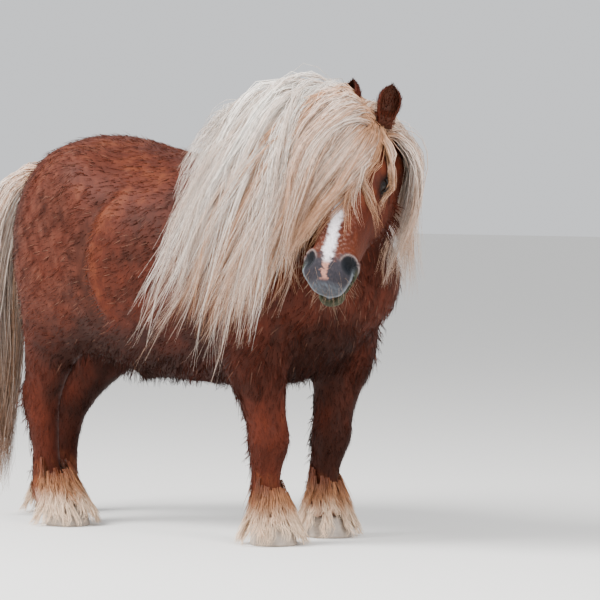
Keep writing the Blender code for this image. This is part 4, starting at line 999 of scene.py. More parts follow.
def strand_tree():
    """Makes every drawn line a thin tube of three sides that tapers by its own radius."""
    tree, start, end = geometry_tree(
        "hair strands",
        [
            ("Thickness", "NodeSocketFloat", 1.0),
            ("Sides", "NodeSocketInt", 3),
            ("Material", "NodeSocketMaterial", None),
        ],
    )
    lines = add_node(tree, "GeometryNodeMeshToCurve", {"Mesh": start.outputs["Geometry"]})
    thick = add_node(tree, "GeometryNodeInputNamedAttribute", {"Name": "thick"}, data_type="FLOAT")
    radius = add_node(tree, "ShaderNodeMath", {0: thick.outputs[0], 1: start.outputs["Thickness"]}, operation="MULTIPLY")
    sized = add_node(tree, "GeometryNodeSetCurveRadius", {"Curve": lines.outputs[0], "Radius": radius.outputs[0]})
    along = add_node(tree, "GeometryNodeSplineParameter")
    kept = add_node(
        tree,
        "GeometryNodeStoreNamedAttribute",
        {"Geometry": sized.outputs[0], "Name": "along", "Value": along.outputs["Factor"]},
        data_type="FLOAT",
        domain="POINT",
    )
    ring = add_node(tree, "GeometryNodeCurvePrimitiveCircle", {"Resolution": start.outputs["Sides"], "Radius": 1.0})
    tube = add_node(
        tree,
        "GeometryNodeCurveToMesh",
        {"Curve": kept.outputs[0], "Profile Curve": ring.outputs["Curve"], "Fill Caps": True},
    )
    if "Scale" in tube.inputs:
        curve_radius = add_node(tree, "GeometryNodeInputRadius")
        tree.links.new(curve_radius.outputs[0], tube.inputs["Scale"])
    root = add_node(tree, "GeometryNodeInputNamedAttribute", {"Name": "bake"}, data_type="FLOAT_VECTOR")
    share = add_node(tree, "GeometryNodeInputNamedAttribute", {"Name": "along"}, data_type="FLOAT")
    index = add_node(tree, "GeometryNodeInputIndex")
    turn = add_node(tree, "ShaderNodeMath", {0: index.outputs[0], 1: 3.0}, operation="MODULO")
    own = add_node(tree, "ShaderNodeCombineXYZ", {"X": share.outputs[0], "Y": turn.outputs[0]})
    small = add_node(tree, "ShaderNodeVectorMath", {0: own.outputs[0], 1: (0.003, 0.0015, 0.0)}, operation="MULTIPLY")
    place = add_node(tree, "ShaderNodeVectorMath", {0: root.outputs[0], 1: small.outputs[0]}, operation="ADD")
    corner = add_node(
        tree,
        "GeometryNodeFieldOnDomain",
        {0: place.outputs[0]},
        data_type="FLOAT_VECTOR",
        domain="POINT",
    )
    mapped = add_node(
        tree,
        "GeometryNodeStoreNamedAttribute",
        {"Geometry": tube.outputs[0], "Name": "OFBake", "Value": corner.outputs[0]},
        data_type="FLOAT2",
        domain="CORNER",
    )
    coated = add_node(tree, "GeometryNodeSetMaterial", {0: mapped.outputs[0], "Material": start.outputs["Material"]})
    tree.links.new(coated.outputs[0], end.inputs[0])
    return tree


def grown_mesh(made, tree, name, material, **values):
    """The object with a node tree worked into a plain mesh and the tree taken off."""
    modifier = made.modifiers.new(name, "NODES")
    modifier.node_group = tree
    for label, value in {**values, "Material": material}.items():
        socket = next(s for s in tree.interface.items_tree if s.name == label and s.in_out == "INPUT")
        modifier[socket.identifier] = value
    graph = bpy.context.evaluated_depsgraph_get()
    mesh = bpy.data.meshes.new_from_object(made.evaluated_get(graph))
    made.modifiers.clear()
    old = made.data
    made.data = mesh
    bpy.data.meshes.remove(old)
    mesh.name = name
    made.name = name
    for spare in ("patch", "along", "lie", "out", "size", "bake", "thick"):
        if spare in mesh.attributes:
            mesh.attributes.remove(mesh.attributes[spare])
    mesh.shade_smooth()
    return made


# Materials


def new_material(name):
    material = bpy.data.materials.new(name)
    material.use_nodes = True
    tree = material.node_tree
    tree.nodes.clear()
    shader = add_node(tree, "ShaderNodeBsdfPrincipled")
    output = add_node(tree, "ShaderNodeOutputMaterial", {"Surface": shader.outputs[0]})
    output.location = (300, 0)
    return material, tree, shader


def hair_material(name, roughness, streak_mm, gloss):
    """Hair: each one keeps its own tint, with fine lighter and darker streaks of a real size."""
    material, tree, shader = new_material(name)
    tint = add_node(tree, "ShaderNodeAttribute", attribute_name="tint")
    place = add_node(tree, "ShaderNodeTexCoord")
    streaks = add_node(
        tree, "ShaderNodeTexNoise", {"Vector": place.outputs["Object"], "Scale": 1000 / streak_mm, "Detail": 2.0}
    )
    light = add_node(tree, "ShaderNodeMapRange", {"Value": streaks.outputs[0], 1: 0.3, 2: 0.7, 3: 0.82, 4: 1.15})
    mixed = add_node(tree, "ShaderNodeVectorMath", {0: tint.outputs["Color"], "Scale": light.outputs[0]}, operation="SCALE")
    tree.links.new(mixed.outputs[0], shader.inputs["Base Color"])
    shader.inputs["Roughness"].default_value = roughness
    shader.inputs["IOR"].default_value = 1.55
    shader.inputs["Specular IOR Level"].default_value = gloss
    return material


def chestnut_hair_material():
    """Thick winter hair: dry and soft, so that it hardly shines."""
    return hair_material("chestnut_hair", 0.65, 9.0, 0.10)


def flaxen_hair_material():
    """Long clean hair: pale and silky, with a broad soft shine."""
    return hair_material("flaxen_hair", 0.42, 14.0, 0.25)


def skin_material():
    """Hide under a short coat: matt, with a nap of hair streaks about 4 mm long as bump."""
    material, tree, shader = new_material("pony_hide")
    tint = add_node(tree, "ShaderNodeAttribute", attribute_name="tint")
    place = add_node(tree, "ShaderNodeTexCoord")
    long = add_node(tree, "ShaderNodeMapping", {"Vector": place.outputs["Object"], "Scale": (1.0, 1.6, 0.5)})
    nap = add_node(tree, "ShaderNodeTexNoise", {"Vector": long.outputs[0], "Scale": 300.0, "Detail": 4.0})
    light = add_node(tree, "ShaderNodeMapRange", {"Value": nap.outputs[0], 1: 0.3, 2: 0.7, 3: 0.75, 4: 1.15})
    mixed = add_node(tree, "ShaderNodeVectorMath", {0: tint.outputs["Color"], "Scale": light.outputs[0]}, operation="SCALE")
    tree.links.new(mixed.outputs[0], shader.inputs["Base Color"])
    bump = add_node(tree, "ShaderNodeBump", {"Height": nap.outputs[0], "Strength": 0.35, "Distance": 0.002})
    tree.links.new(bump.outputs[0], shader.inputs["Normal"])
    shader.inputs["Roughness"].default_value = 0.62
    shader.inputs["IOR"].default_value = 1.45
    shader.inputs["Specular IOR Level"].default_value = 0.15
    return material


def horn_material():
    """Hoof horn: dull grey keratin with growth rings about 5 mm apart and paler worn patches."""
    material, tree, shader = new_material("hoof_horn_matt")
    place = add_node(tree, "ShaderNodeTexCoord")
    wave = add_node(
        tree,
        "ShaderNodeTexWave",
        {"Vector": place.outputs["Object"], "Scale": 32.0, "Distortion": 3.0, "Detail": 2.0, "Detail Scale": 1.5},
        bands_direction="Z",
    )
    patchy = add_node(tree, "ShaderNodeTexNoise", {"Vector": place.outputs["Object"], "Scale": 45.0, "Detail": 5.0})
    ramp = add_node(tree, "ShaderNodeMix", {0: patchy.outputs[0]}, data_type="RGBA")
    ramp.inputs[6].default_value = (*linear("#6F655C"), 1)
    ramp.inputs[7].default_value = (*linear("#B5A596"), 1)
    tree.links.new(ramp.outputs[2], shader.inputs["Base Color"])
    bump = add_node(tree, "ShaderNodeBump", {"Height": wave.outputs[0], "Strength": 0.35, "Distance": 0.0012})
    tree.links.new(bump.outputs[0], shader.inputs["Normal"])
    shader.inputs["Roughness"].default_value = 0.55
    shader.inputs["IOR"].default_value = 1.55
    return material


def eye_material():
    """A wet dark eye: brown iris and black pupil under a clear, smooth cornea, by the tint of the ball."""
    material, tree, shader = new_material("eye_wet")
    tint = add_node(tree, "ShaderNodeAttribute", attribute_name="tint")
    tree.links.new(tint.outputs["Color"], shader.inputs["Base Color"])
    shader.inputs["Roughness"].default_value = 0.06
    shader.inputs["IOR"].default_value = 1.376
    shader.inputs["Specular IOR Level"].default_value = 0.35
    shader.inputs["Coat Weight"].default_value = 0.25
    shader.inputs["Coat Roughness"].default_value = 0.03
    return material


def lid_material():
    """Bare dark eyelid skin, slightly moist."""
    material, tree, shader = new_material("eyelid_skin")
    place = add_node(tree, "ShaderNodeTexCoord")
    noise = add_node(tree, "ShaderNodeTexNoise", {"Vector": place.outputs["Object"], "Scale": 500.0, "Detail": 3.0})
    bump = add_node(tree, "ShaderNodeBump", {"Height": noise.outputs[0], "Strength": 0.3, "Distance": 0.0006})
    tree.links.new(bump.outputs[0], shader.inputs["Normal"])
    shader.inputs["Base Color"].default_value = (*linear("#120B09"), 1)
    shader.inputs["Roughness"].default_value = 0.45
    shader.inputs["Specular IOR Level"].default_value = 0.2
    return material


def floor_material():
    """Pale matt studio paper."""
    material, tree, shader = new_material("studio_paper")
    shader.inputs["Base Color"].default_value = (*linear("#E9E7E3"), 1)
    shader.inputs["Roughness"].default_value = 0.85
    return material


def made_of(made, material):
    made.data.materials.clear()
    made.data.materials.append(material)
    return made


def material_of(name, maker):
    """A material made once and then shared."""
    return bpy.data.materials.get(name) or maker()


# Coat


def spread_points(mesh, cover, density, count, rng):
    """Places over a mesh's triangles, closer together where the density is higher, and each one's way out."""
    mesh.calc_loop_triangles()
    corners = np.empty(len(mesh.loop_triangles) * 3, np.int32)
    mesh.loop_triangles.foreach_get("vertices", corners)
    spots = vertex_places(mesh)
    normals = np.empty(len(mesh.vertices) * 3, np.float32)
    mesh.vertices.foreach_get("normal", normals)
    normals = normals.reshape(-1, 3)
    tri = corners.reshape(-1, 3)
    a, b, c = spots[tri[:, 0]], spots[tri[:, 1]], spots[tri[:, 2]]
    area = np.linalg.norm(np.cross(b - a, c - a), axis=1) / 2
    middle = (a + b + c) / 3
    weight = area * density(middle) * cover(middle)
    picks = np.searchsorted(np.cumsum(weight) / weight.sum(), (np.arange(count) + rng.random(count)) / count)
    picks = np.minimum(picks, len(tri) - 1)
    u, v = rng.random(count), rng.random(count)
    flip = u + v > 1
    u[flip], v[flip] = 1 - u[flip], 1 - v[flip]
    u, v = u[:, None], v[:, None]
    places = a[picks] * (1 - u - v) + b[picks] * u + c[picks] * v
    outs = unit(normals[tri[picks, 0]] * (1 - u - v) + normals[tri[picks, 1]] * u + normals[tri[picks, 2]] * v)
    return places, outs


def tuft_density(points):
    """Tufts stand closer on the face and legs, where they are short, and fewer under the mane."""
    on = head_share(points)
    low = smooth_step(0.50, 0.40, points[:, 2])
    under = smooth_step(0.05, 0.015, mane_cover(points))
    return (1 + 2.2 * on + 0.9 * low) * (1 - 0.55 * under)


def mane_cover(points):
    """Distance from the part of the neck that the mane hides."""
    x, y, z = points.T
    side = np.maximum.reduce([0.27 - x, x - 0.52, 0.62 - z, y + 0.02])
    return np.maximum(side, 0)


def coat_points(name, places, outs, rng, stand, wide_share):
    """An object of bare points that carry what each tuft needs."""
    lie = coat_lie(places, outs)
    lift = np.reshape(stand * rng.uniform(0.5, 1.5, len(places)), (-1, 1))
    way = unit(lie + outs * lift + rng.normal(0, 0.10, places.shape))
    long = coat_length(places, outs) * rng.uniform(0.75, 1.25, len(places))
    wide = np.clip(long * wide_share, 0.0008, 0.0024)
    colour = coat_colour(places, outs) * rng.uniform(0.70, 1.45, (len(places), 1))
    pale = (rng.random(len(places)) < 0.07 * smooth_step(0.35, 0.55, places[:, 2]))[:, None]
    colour = np.where(pale, colour * 0.75 + linear("#B88A74") * 0.25, colour)
    start = places - outs * 0.0012 + way * long[:, None] * 0.5
    made = new_object(name, start)
    mesh = made.data
    set_attribute(mesh, "lie", "FLOAT_VECTOR", way)
    set_attribute(mesh, "out", "FLOAT_VECTOR", outs)
    set_attribute(mesh, "size", "FLOAT_VECTOR", np.stack([wide, wide, long], 1))
    set_attribute(mesh, "tint", "FLOAT_COLOR", np.clip(colour, 0, 1))
    place = bake_place(places)
    set_attribute(mesh, "bake", "FLOAT_VECTOR", np.hstack([place, np.zeros((len(place), 1))]))
    return made


# Hair lines


def lay_lines(starts, ways, tips, lifts, rise, distance, steps=11, hang=0.3, bow=(0.0, 0.0, 0.0)):
    """Lines for many locks: each leaves its root along its way, bows, bends to its tip and stays clear."""
    starts, tips = np.array(starts, float), np.array(tips, float)
    tips[:, 1] = np.clip(tips[:, 1], -0.282, 0.282)
    span = np.linalg.norm(tips - starts, axis=1, keepdims=True)
    first = starts + unit(ways) * span * np.reshape(rise, (-1, 1))
    second = tips + (starts - tips) * 0.25 + np.array([0, 0, hang]) * span
    second = second + np.array(bow) * span
    share = np.linspace(0, 1, steps + 1)
    t = share[:, None, None]
    lines = starts * (1 - t) ** 3 + 3 * first * t * (1 - t) ** 2 + 3 * second * t**2 * (1 - t) + tips * t**3
    wanted = np.outer(np.minimum(1, share * 2.2), lifts)
    shape = lines.shape
    outs = np.zeros(shape)
    for turn in range(6):
        flat = lines.reshape(-1, 3)
        slope = outward(flat, distance, 0.004).reshape(shape)
        steep = np.linalg.norm(slope, axis=2, keepdims=True) > 0.2
        outs = np.where(steep, unit(slope), outs)
        short = wanted - distance(flat).reshape(shape[:2])
        lines[1:] += (outs * np.clip(short, 0, 0.05)[:, :, None])[1:]
        if turn < 4:
            lines[1:-1] = lines[1:-1] * 0.5 + (lines[:-2] + lines[2:]) * 0.25
    lines[..., 2] -= 0.65 * np.maximum(lines[..., 2] - CROWN_HEIGHT, 0)
    flat_out = np.linalg.norm(outs, axis=2, keepdims=True) < 0.1
    outs = np.where(flat_out, np.array([0.5, -0.5, 0.7]), outs)
    return lines.transpose(1, 0, 2), outs.transpose(1, 0, 2)


def crest_roots(shares):
    """Places on the crest, 0 at the withers and 1 at the poll."""
    rows = smooth_rows(
        [
            (0.215, 0.000, 0.965),
            (0.310, 0.003, 1.020),
            (0.420, 0.010, 1.052),
            (0.520, 0.012, 1.046),
            (0.585, -0.012, 1.020),
        ],
        8,
    )
    return np.stack([np.interp(np.asarray(shares) * (len(rows) - 1), range(len(rows)), rows[:, i]) for i in range(3)], 1)


def by_share(table, shares):
    """Rows of a table read off between its rows. The first column holds the share of each."""
    table = np.array(table, float)
    return np.stack([np.interp(shares, table[:, 0], column) for column in table.T[1:]], 1)


def ear_room(points):
    """Distance to the space that each ear takes up."""
    room = np.full(len(points), FAR)
    for side in (-1, 1):
        base, axis, _, _ = ear_frame(side)
        start = base - axis * 0.03
        share = np.clip((points - start) @ axis / (EAR_LENGTH + 0.03), 0, 1)
        away = points - start - np.outer(share, axis) * (EAR_LENGTH + 0.03)
        room = np.minimum(room, np.linalg.norm(away, axis=1) - (0.026 if side > 0 else -0.004))
    return room


def face_room(points):
    """Distance to the head, with the left eye left free."""
    eye = HEAD_AXES @ np.array(EYE_CLEARING) + POLL
    clear = np.linalg.norm(points - eye, axis=1) - EYE_CLEARING_RADIUS
    return np.minimum(np.minimum(flesh(points, HEAD_SHAPES), clear), ear_room(points))


def front_room(points):
    return np.minimum(flesh(points), ear_room(points))


def mane_room(points):
    """Distance to the body, with a little room kept round the face for the forelock."""
    from_poll = np.linalg.norm(points - np.array(POLL), axis=1)
    room = flesh(points, HEAD_SHAPES) - 0.020 * np.clip((from_poll - 0.06) / 0.08, 0, 1)
    return np.minimum(flesh(points), np.minimum(room, ear_room(points)))


# Where the mane's hair ends, by its root's share of the crest: forward, left and up, and how far it is swept back
MANE_TIPS_RIGHT = [
    (0.00, 0.196, -0.215, 0.900, 0.00),
    (0.12, 0.244, -0.270, 0.820, 0.00),
    (0.25, 0.317, -0.292, 0.730, 0.00),
    (0.38, 0.300, -0.295, 0.620, 0.05),
    (0.52, 0.095, -0.290, 0.530, 0.35),
    (0.66, 0.110, -0.270, 0.460, 0.30),
    (0.78, 0.290, -0.280, 0.385, 0.15),
    (0.90, 0.420, -0.290, 0.480, 0.05),
    (1.00, 0.500, -0.275, 0.560, 0.00),
]
MANE_TIPS_LEFT = [
    (0.00, 0.230, 0.215, 0.810, 0.00),
    (0.30, 0.330, 0.240, 0.720, 0.00),
    (0.60, 0.430, 0.230, 0.660, 0.00),
    (0.85, 0.530, 0.175, 0.650, 0.00),
    (1.00, 0.590, 0.100, 0.640, 0.00),
]
# Where the locks from the poll end, from the left: forward, left and up
FRONT_TIPS = [
    (0.00, 0.210, -0.285, 0.560),
    (0.25, 0.300, -0.290, 0.500),
    (0.50, 0.400, -0.290, 0.520),
    (0.75, 0.500, -0.270, 0.590),
    (0.90, 0.560, -0.250, 0.650),
    (1.00, 0.600, -0.235, 0.700),
]
# The forelock from right to left: where it ends on the head, the way it leaves the poll, and how it bows
FORELOCK = [
    (0.00, 0.200, -0.150, -0.110, 0.05, -0.75, 0.75, 0.00, 0.00, 0.00),
    (0.25, 0.270, -0.145, -0.105, 0.10, -0.55, 0.80, 0.00, 0.05, 0.04),
    (0.50, 0.325, -0.128, -0.090, 0.30, -0.25, 0.90, 0.00, 0.12, 0.10),
    (0.75, 0.340, -0.100, -0.060, 0.60, 0.10, 0.65, 0.00, 0.20, 0.16),
    (0.93, 0.316, -0.080, -0.034, 0.86, 0.22, 0.42, 0.00, 0.22, 0.20),
    (0.94, 0.268, 0.058, -0.040, 0.85, -0.02, 0.50, 0.00, -0.05, 0.22),
    (0.98, 0.285, 0.078, -0.055, 0.85, 0.00, 0.50, 0.00, -0.07, 0.24),
    (0.985, 0.200, 0.076, -0.045, 0.60, 0.75, 0.25, 0.10, 0.20, 0.08),
    (1.00, 0.205, 0.080, -0.050, 0.60, 0.75, 0.25, 0.10, 0.20, 0.08),
]
# The curtain on the far cheek, from back to front: where it ends, forward, left and up
CURTAIN_TIPS = [
    (0.00, 0.480, 0.220, 0.670),
    (0.35, 0.545, 0.175, 0.620),
    (0.70, 0.600, 0.085, 0.605),
    (1.00, 0.640, 0.000, 0.620),
]


def front_guides(count, rng):
    """Locks from the poll that sweep over the right eye and on down the right side of the neck."""
    shares = (np.arange(count) + rng.uniform(0.1, 0.9, count)) / count
    starts = np.array([on_head((-0.030 + 0.022 * s, -0.012 + 0.034 * s, -0.024)) for s in shares])
    starts = starts + rng.normal(0, 0.006, (count, 3))
    tips = by_share(FRONT_TIPS, shares) + rng.normal(0, 0.020, (count, 3))
    ways = np.stack([np.full(count, -0.78), rng.uniform(-0.42, 0.10, count), np.full(count, 0.50)], 1)
    ways = ways @ HEAD_AXES.T + rng.normal(0, 0.06, (count, 3))
    lifts = rng.uniform(0.012, 0.066, count)
    rise = rng.uniform(0.26, 0.56, count)
    return lay_lines(starts, ways, tips, lifts, rise, front_room, 9, 0.22)


def blown_guides(count, rng):
    """Light wisps that the wind lifts off the crown, back and to the right."""
    starts = crest_roots(rng.uniform(0.72, 1.0, count)) + (0, 0, 0.01) + rng.normal(0, 0.008, (count, 3))
    tips = starts + np.array([-0.14, -0.10, 0.05]) + rng.normal(0, 0.020, (count, 3))
    tips[:, 2] = np.minimum(tips[:, 2], 1.125)
    ways = np.array([-0.25, -0.30, 0.75]) + rng.normal(0, 0.12, (count, 3))
    return lay_lines(starts, ways, tips, rng.uniform(0.01, 0.02, count), np.full(count, 0.26), front_room, 9, 0.0)


def curtain_guides(count, rng):
    """Locks from behind the left ear that hang in a loose curtain past the far cheek."""
    shares = (np.arange(count) + rng.uniform(0.1, 0.9, count)) / count
    starts = np.array([on_head((-0.030 + 0.030 * s, 0.020 + 0.022 * s, -0.085 + 0.025 * s)) for s in shares])
    starts = starts + rng.normal(0, 0.006, (count, 3))
    tips = by_share(CURTAIN_TIPS, shares) + rng.normal(0, 0.022, (count, 3))
    ways = np.array([0.30, 0.60, 0.40]) + rng.normal(0, 0.14, (count, 3))
    lifts = rng.uniform(0.006, 0.038, count)
    return lay_lines(starts, ways, tips, lifts, rng.uniform(0.12, 0.19, count), mane_room, 9, 0.3)


def mane_guides(side, count, lift, reach, rise, rng):
    """One layer of the mane's locks on one side of the neck."""
    shares = (np.arange(count) + rng.uniform(0.1, 0.9, count)) / count
    starts = crest_roots(shares) + rng.normal(0, 0.006, (count, 3)) - (0, side * 0.006, 0.004)
    ends = by_share(MANE_TIPS_RIGHT if side < 0 else MANE_TIPS_LEFT, shares)
    tips, sweep = ends[:, :3], ends[:, 3]
    tips = starts + (tips - starts) * np.reshape(reach * rng.uniform(0.72, 1.08, count), (-1, 1))
    tips = tips + rng.normal(0, 0.024, (count, 3))
    ways = np.array([-0.10, side * 0.55, 0.85]) + rng.normal(0, 0.12, (count, 3))
    lifts = lift * rng.uniform(0.8, 1.2, count)
    rises = rise * rng.uniform(0.8, 1.2, count)
    return lay_lines(starts, ways, tips, lifts, rises, mane_room, 9, 0.3, np.outer(sweep, (1.0, 0, -0.5)))


def strands_of(lines, outs, per, rng, root=0.010, body=0.016, tip=0.010, flat=0.4, wave=0.006, stray=0.05):
    """Fine strands round each guide line, gathered at its tip, with their own length, waves and strays."""
    count, steps = lines.shape[:2]
    share = np.linspace(0, 1, steps)
    size = np.interp(share, [0, 0.3, 0.75, 1], [root, body, body * 0.85, tip])
    ways = unit(np.gradient(lines, axis=1))
    across = unit(np.cross(outs, ways))
    a, b = rng.normal(0, 0.5, (2, count, per, 1))
    loose = rng.random((count, per, 1)) < stray
    a, b = np.where(loose, a * 2.2, a), np.where(loose, b * 2.6, b)
    swing = rng.uniform(0, 2 * math.pi, (2, count, per, 1))
    turns = rng.uniform(5, 11, (count, per, 1)) * np.linalg.norm(np.diff(lines, axis=1), axis=2).sum(1)[:, None, None] / 0.4
    lock_swing = rng.uniform(0, 2 * math.pi, (count, 1, 1))
    lock_turns = rng.uniform(6, 12, (count, 1, 1))
    far = wave * share * np.where(loose, 2.0, 1.0) * (0.5 + 0.8 * rng.random((count, per, 1)))
    curl = 1.8 * share * np.sin(lock_turns * share + lock_swing)
    side = a * size + far * np.sin(turns * share + swing[0]) + wave * curl
    up = b * size * flat + far * 0.7 * np.sin(turns * share * 0.9 + swing[1])
    made = lines[:, None] + across[:, None] * side[..., None] + outs[:, None] * up[..., None]
    ends = rng.uniform(0.60, 1.0, (count, per)) ** 0.8
    cut = share * ends[..., None] * (steps - 1)
    low = np.minimum(cut.astype(int), steps - 2)
    part = (cut - low)[..., None]
    first = np.take_along_axis(made, low[..., None], 2)
    second = np.take_along_axis(made, low[..., None] + 1, 2)
    made = first * (1 - part) + second * part
    return made.reshape(-1, steps, 3)


def strand_object(name, strands, radii, tints, bake):
    """Drawn lines with each point's radius and tint, ready to be made tubes."""
    count, steps = strands.shape[:2]
    share = np.linspace(0, 1, steps)
    taper = np.interp(share, [0, 0.1, 0.6, 1], [0.8, 1.0, 0.8, 0.12])
    index = np.arange(count * steps).reshape(count, steps)
    edges = np.stack([index[:, :-1], index[:, 1:]], -1).reshape(-1, 2)
    made = new_object(name, strands.reshape(-1, 3), edges=edges)
    set_attribute(made.data, "thick", "FLOAT", (radii[:, None] * taper).ravel())
    set_attribute(made.data, "tint", "FLOAT_COLOR", np.clip(tints, 0, 1).reshape(-1, 3))
    bake = np.hstack([bake, np.zeros((len(bake), 1))])
    set_attribute(made.data, "bake", "FLOAT_VECTOR", np.repeat(bake, steps, 0))
    return made


def flaxen_tints(count, steps, rng, tan, per):
    """Tints along each strand, alike within a lock: tan at its root, pale on, and dull brown at its tip, with about one
    strand in seven painted dark as shade between the locks.
    """
    lock = np.repeat(rng.uniform(-0.32, 0.32, count // per), per)
    share = np.linspace(0, 1, steps)
    depth = np.reshape(tan, (-1, 1)) + lock[:, None] + rng.normal(0, 0.12, (count, 1))
    depth = np.clip(depth + np.interp(share, [0, 0.12, 0.35, 0.7, 1], [0.55, 0.25, -0.10, 0.0, 0.15]), 0, 1)
    tint = FLAXEN + (FLAXEN_TAN - FLAXEN) * depth[..., None]
    dull = np.clip(share * 1.6 - 0.75, 0, 1) * rng.uniform(0.2, 0.8, (count, 1))
    tint = tint + (FLAXEN_BROWN - tint) * 0.55 * dull[..., None]
    # Painted shade: about one strand in seven is made much darker for the shadows between locks; the rest vary at
    # random.
    tone_and_painted_shade = np.where(rng.random(count) < 0.14, rng.uniform(0.35, 0.6, count), rng.uniform(0.78, 1.08, count))
    return tint * tone_and_painted_shade[:, None, None]


# Eyes and hooves


def build_eye(side):
    """One eyeball with a bulging cornea, a level pupil and a brown iris."""
    form = bmesh.new()
    bmesh.ops.create_uvsphere(form, u_segments=48, v_segments=32, radius=1.0)
    mesh = bpy.data.meshes.new("eye")
    form.to_mesh(mesh)
    form.free()
    made = bpy.data.objects.new("eye_piece_" + ("left" if side > 0 else "right"), mesh)
    bpy.context.scene.collection.objects.link(made)
    centre, slit, up, out = eye_frame(side)
    unit_spots = np.array([tuple(v.co) for v in mesh.vertices])
    facing = unit_spots[:, 2]
    bulge = 1 + 0.03 * smooth_step(0.72, 0.95, facing)
    local = unit_spots * bulge[:, None]
    places = centre + (np.outer(local[:, 0], slit) + np.outer(local[:, 1], up) + np.outer(local[:, 2], out)) * EYE_RADIUS
    mesh.vertices.foreach_set("co", (places + SHIFT).astype(np.float32).ravel())
    mesh.update()
    mesh.shade_smooth()
    across = np.sqrt((unit_spots[:, 0] / 0.33) ** 2 + (unit_spots[:, 1] / 0.20) ** 2)
    ring = np.linalg.norm(unit_spots[:, :2], axis=1)
    tint = np.tile(linear("#2A1D18"), (len(places), 1))
    tint = over(tint, smooth_step(0.80, 0.70, ring) * (facing > 0), linear("#140905"))
    tint = over(tint, smooth_step(1.15, 0.9, across) * (facing > 0), linear("#050406"))
    set_attribute(mesh, "tint", "FLOAT_COLOR", tint)
    return made


def eye_frame(side):
    """Centre of one eye, and its axes: along the slit to the muzzle, up across it, and out."""
    out = unit(HEAD_AXES @ (0.02, side * 0.84, 0.50))
    slit = HEAD_AXES @ np.array((1.0, 0, -0.25))
    slit = unit(slit - out * (out @ slit))
    return on_head(EYE_PLACE, side), slit, np.cross(out, slit) * side, out


def tube_faces(rows, per):
    """Quads of a tube of rings."""
    i = np.arange(per)
    j = (i + 1) % per
    return np.vstack([np.stack([r * per + i, r * per + j, (r + 1) * per + j, (r + 1) * per + i], 1) for r in range(rows - 1)])


def build_lids():
    """Upper and lower lids of both eyes as soft bent rolls from corner to corner."""
    made = []
    for side in (-1, 1):
        centre, slit, up, out = eye_frame(side)
        for lift, thick in ((34, 1.0), (-27, 0.85)):
            rings = []
            for turn in np.radians(np.linspace(-84, 84, 29)):
                swell = math.cos(turn) ** 0.5
                rise = math.radians(lift) * math.cos(turn) ** 0.8
                way = unit(slit * math.sin(turn) + math.cos(turn) * (out * math.cos(rise) + up * math.sin(rise)))
                along = unit(np.cross(way, np.cross(slit * math.cos(turn) - out * math.sin(turn), way)))
                across = np.cross(way, along)
                middle = centre + way * (EYE_RADIUS + 0.0020)
                away = np.sign(lift) * up
                middle = middle + unit(away - way * (away @ way)) * 0.0030 * swell
                rings.append(
                    [
                        middle + across * math.cos(a) * (0.0012 + 0.0052 * thick * swell) + way * math.sin(a) * 0.0030
                        for a in np.arange(12) / 12 * 2 * math.pi
                    ]
                )
            rings = np.array(rings)
            made.append(new_object("lid", rings.reshape(-1, 3), tube_faces(*rings.shape[:2])))
    lids = joined(made, "eyelids")
    form = bmesh.new()
    form.from_mesh(lids.data)
    bmesh.ops.holes_fill(form, edges=[edge for edge in form.edges if edge.is_boundary])
    bmesh.ops.recalc_face_normals(form, faces=form.faces)
    form.to_mesh(lids.data)
    form.free()
    lids.data.shade_smooth()
    return lids


def joined(parts, name):
    """Several plain meshes as one object."""
    form = bmesh.new()
    for part in parts:
        form.from_mesh(part.data)
        bpy.data.objects.remove(part)
    mesh = bpy.data.meshes.new(name)
    form.to_mesh(mesh)
    form.free()
    made = bpy.data.objects.new(name, mesh)
    bpy.context.scene.collection.objects.link(made)
    return made


def build_hoof(name):
    """A hoof with a worn lower rim, a rounded toe and faint growth rings."""
    x, y = HOOF_PLACES[name]
    rows = [
        (0.0000, 0.0500),
        (0.0000, 0.0535),
        (0.0012, 0.0562),
        (0.0045, 0.0574),
        (0.0120, 0.0562),
        (0.0200, 0.0545),
        (0.0280, 0.0530),
        (0.0350, 0.0516),
        (0.0430, 0.0498),
        (0.0490, 0.0478),
        (HOOF_HEIGHT - 0.0003, 0.0430),
    ]
    rows = [(z, r) for z, r in smooth_rows(rows, 3)]
    turns = np.arange(64) / 64 * 2 * math.pi
    heel = np.exp(-(((turns - math.pi) / 0.35) ** 2))
    rings = []
    for z, radius in rows:
        z = max(z, 0.0)
        shift = -0.006 * z / HOOF_HEIGHT
        size = radius * (1 - 0.05 * heel) + 0.0003 * math.sin(z * 1200)
        rings.append(np.stack([x + shift + size * 1.05 * np.cos(turns), y + size * 0.95 * np.sin(turns), z + 0 * turns], 1))
    rings = np.array(rings)
    count = len(turns)
    points = np.vstack([rings.reshape(-1, 3), [[x, y, 0.0]], [[x - 0.006, y, HOOF_HEIGHT - 0.0003]]])
    low, high = len(points) - 2, len(points) - 1
    made = new_object("hoof_piece_" + name, points, tube_faces(len(rings), count))
    form = bmesh.new()
    form.from_mesh(made.data)
    form.verts.ensure_lookup_table()
    for i in range(count):
        j = (i + 1) % count
        form.faces.new([form.verts[j], form.verts[i], form.verts[low]])
        form.faces.new([form.verts[(len(rings) - 1) * count + i], form.verts[(len(rings) - 1) * count + j], form.verts[high]])
    bmesh.ops.recalc_face_normals(form, faces=form.faces)
    form.to_mesh(made.data)
    form.free()
    made.data.shade_smooth()
    return made


# Settings and operators


class PonyCoatSettings(bpy.types.PropertyGroup):
    tufts: IntProperty(name="Tufts", description="How many tufts make the short coat", default=48000, min=100)
    stand: FloatProperty(name="Stand", description="How far the tufts stand off the skin", default=0.12, min=0)
    slimness: FloatProperty(name="Slimness", description="Width of a tuft as a share of its length", default=0.075)
    thickness: FloatProperty(name="Thickness", description="Size of all tufts across", default=1.0, subtype="FACTOR")


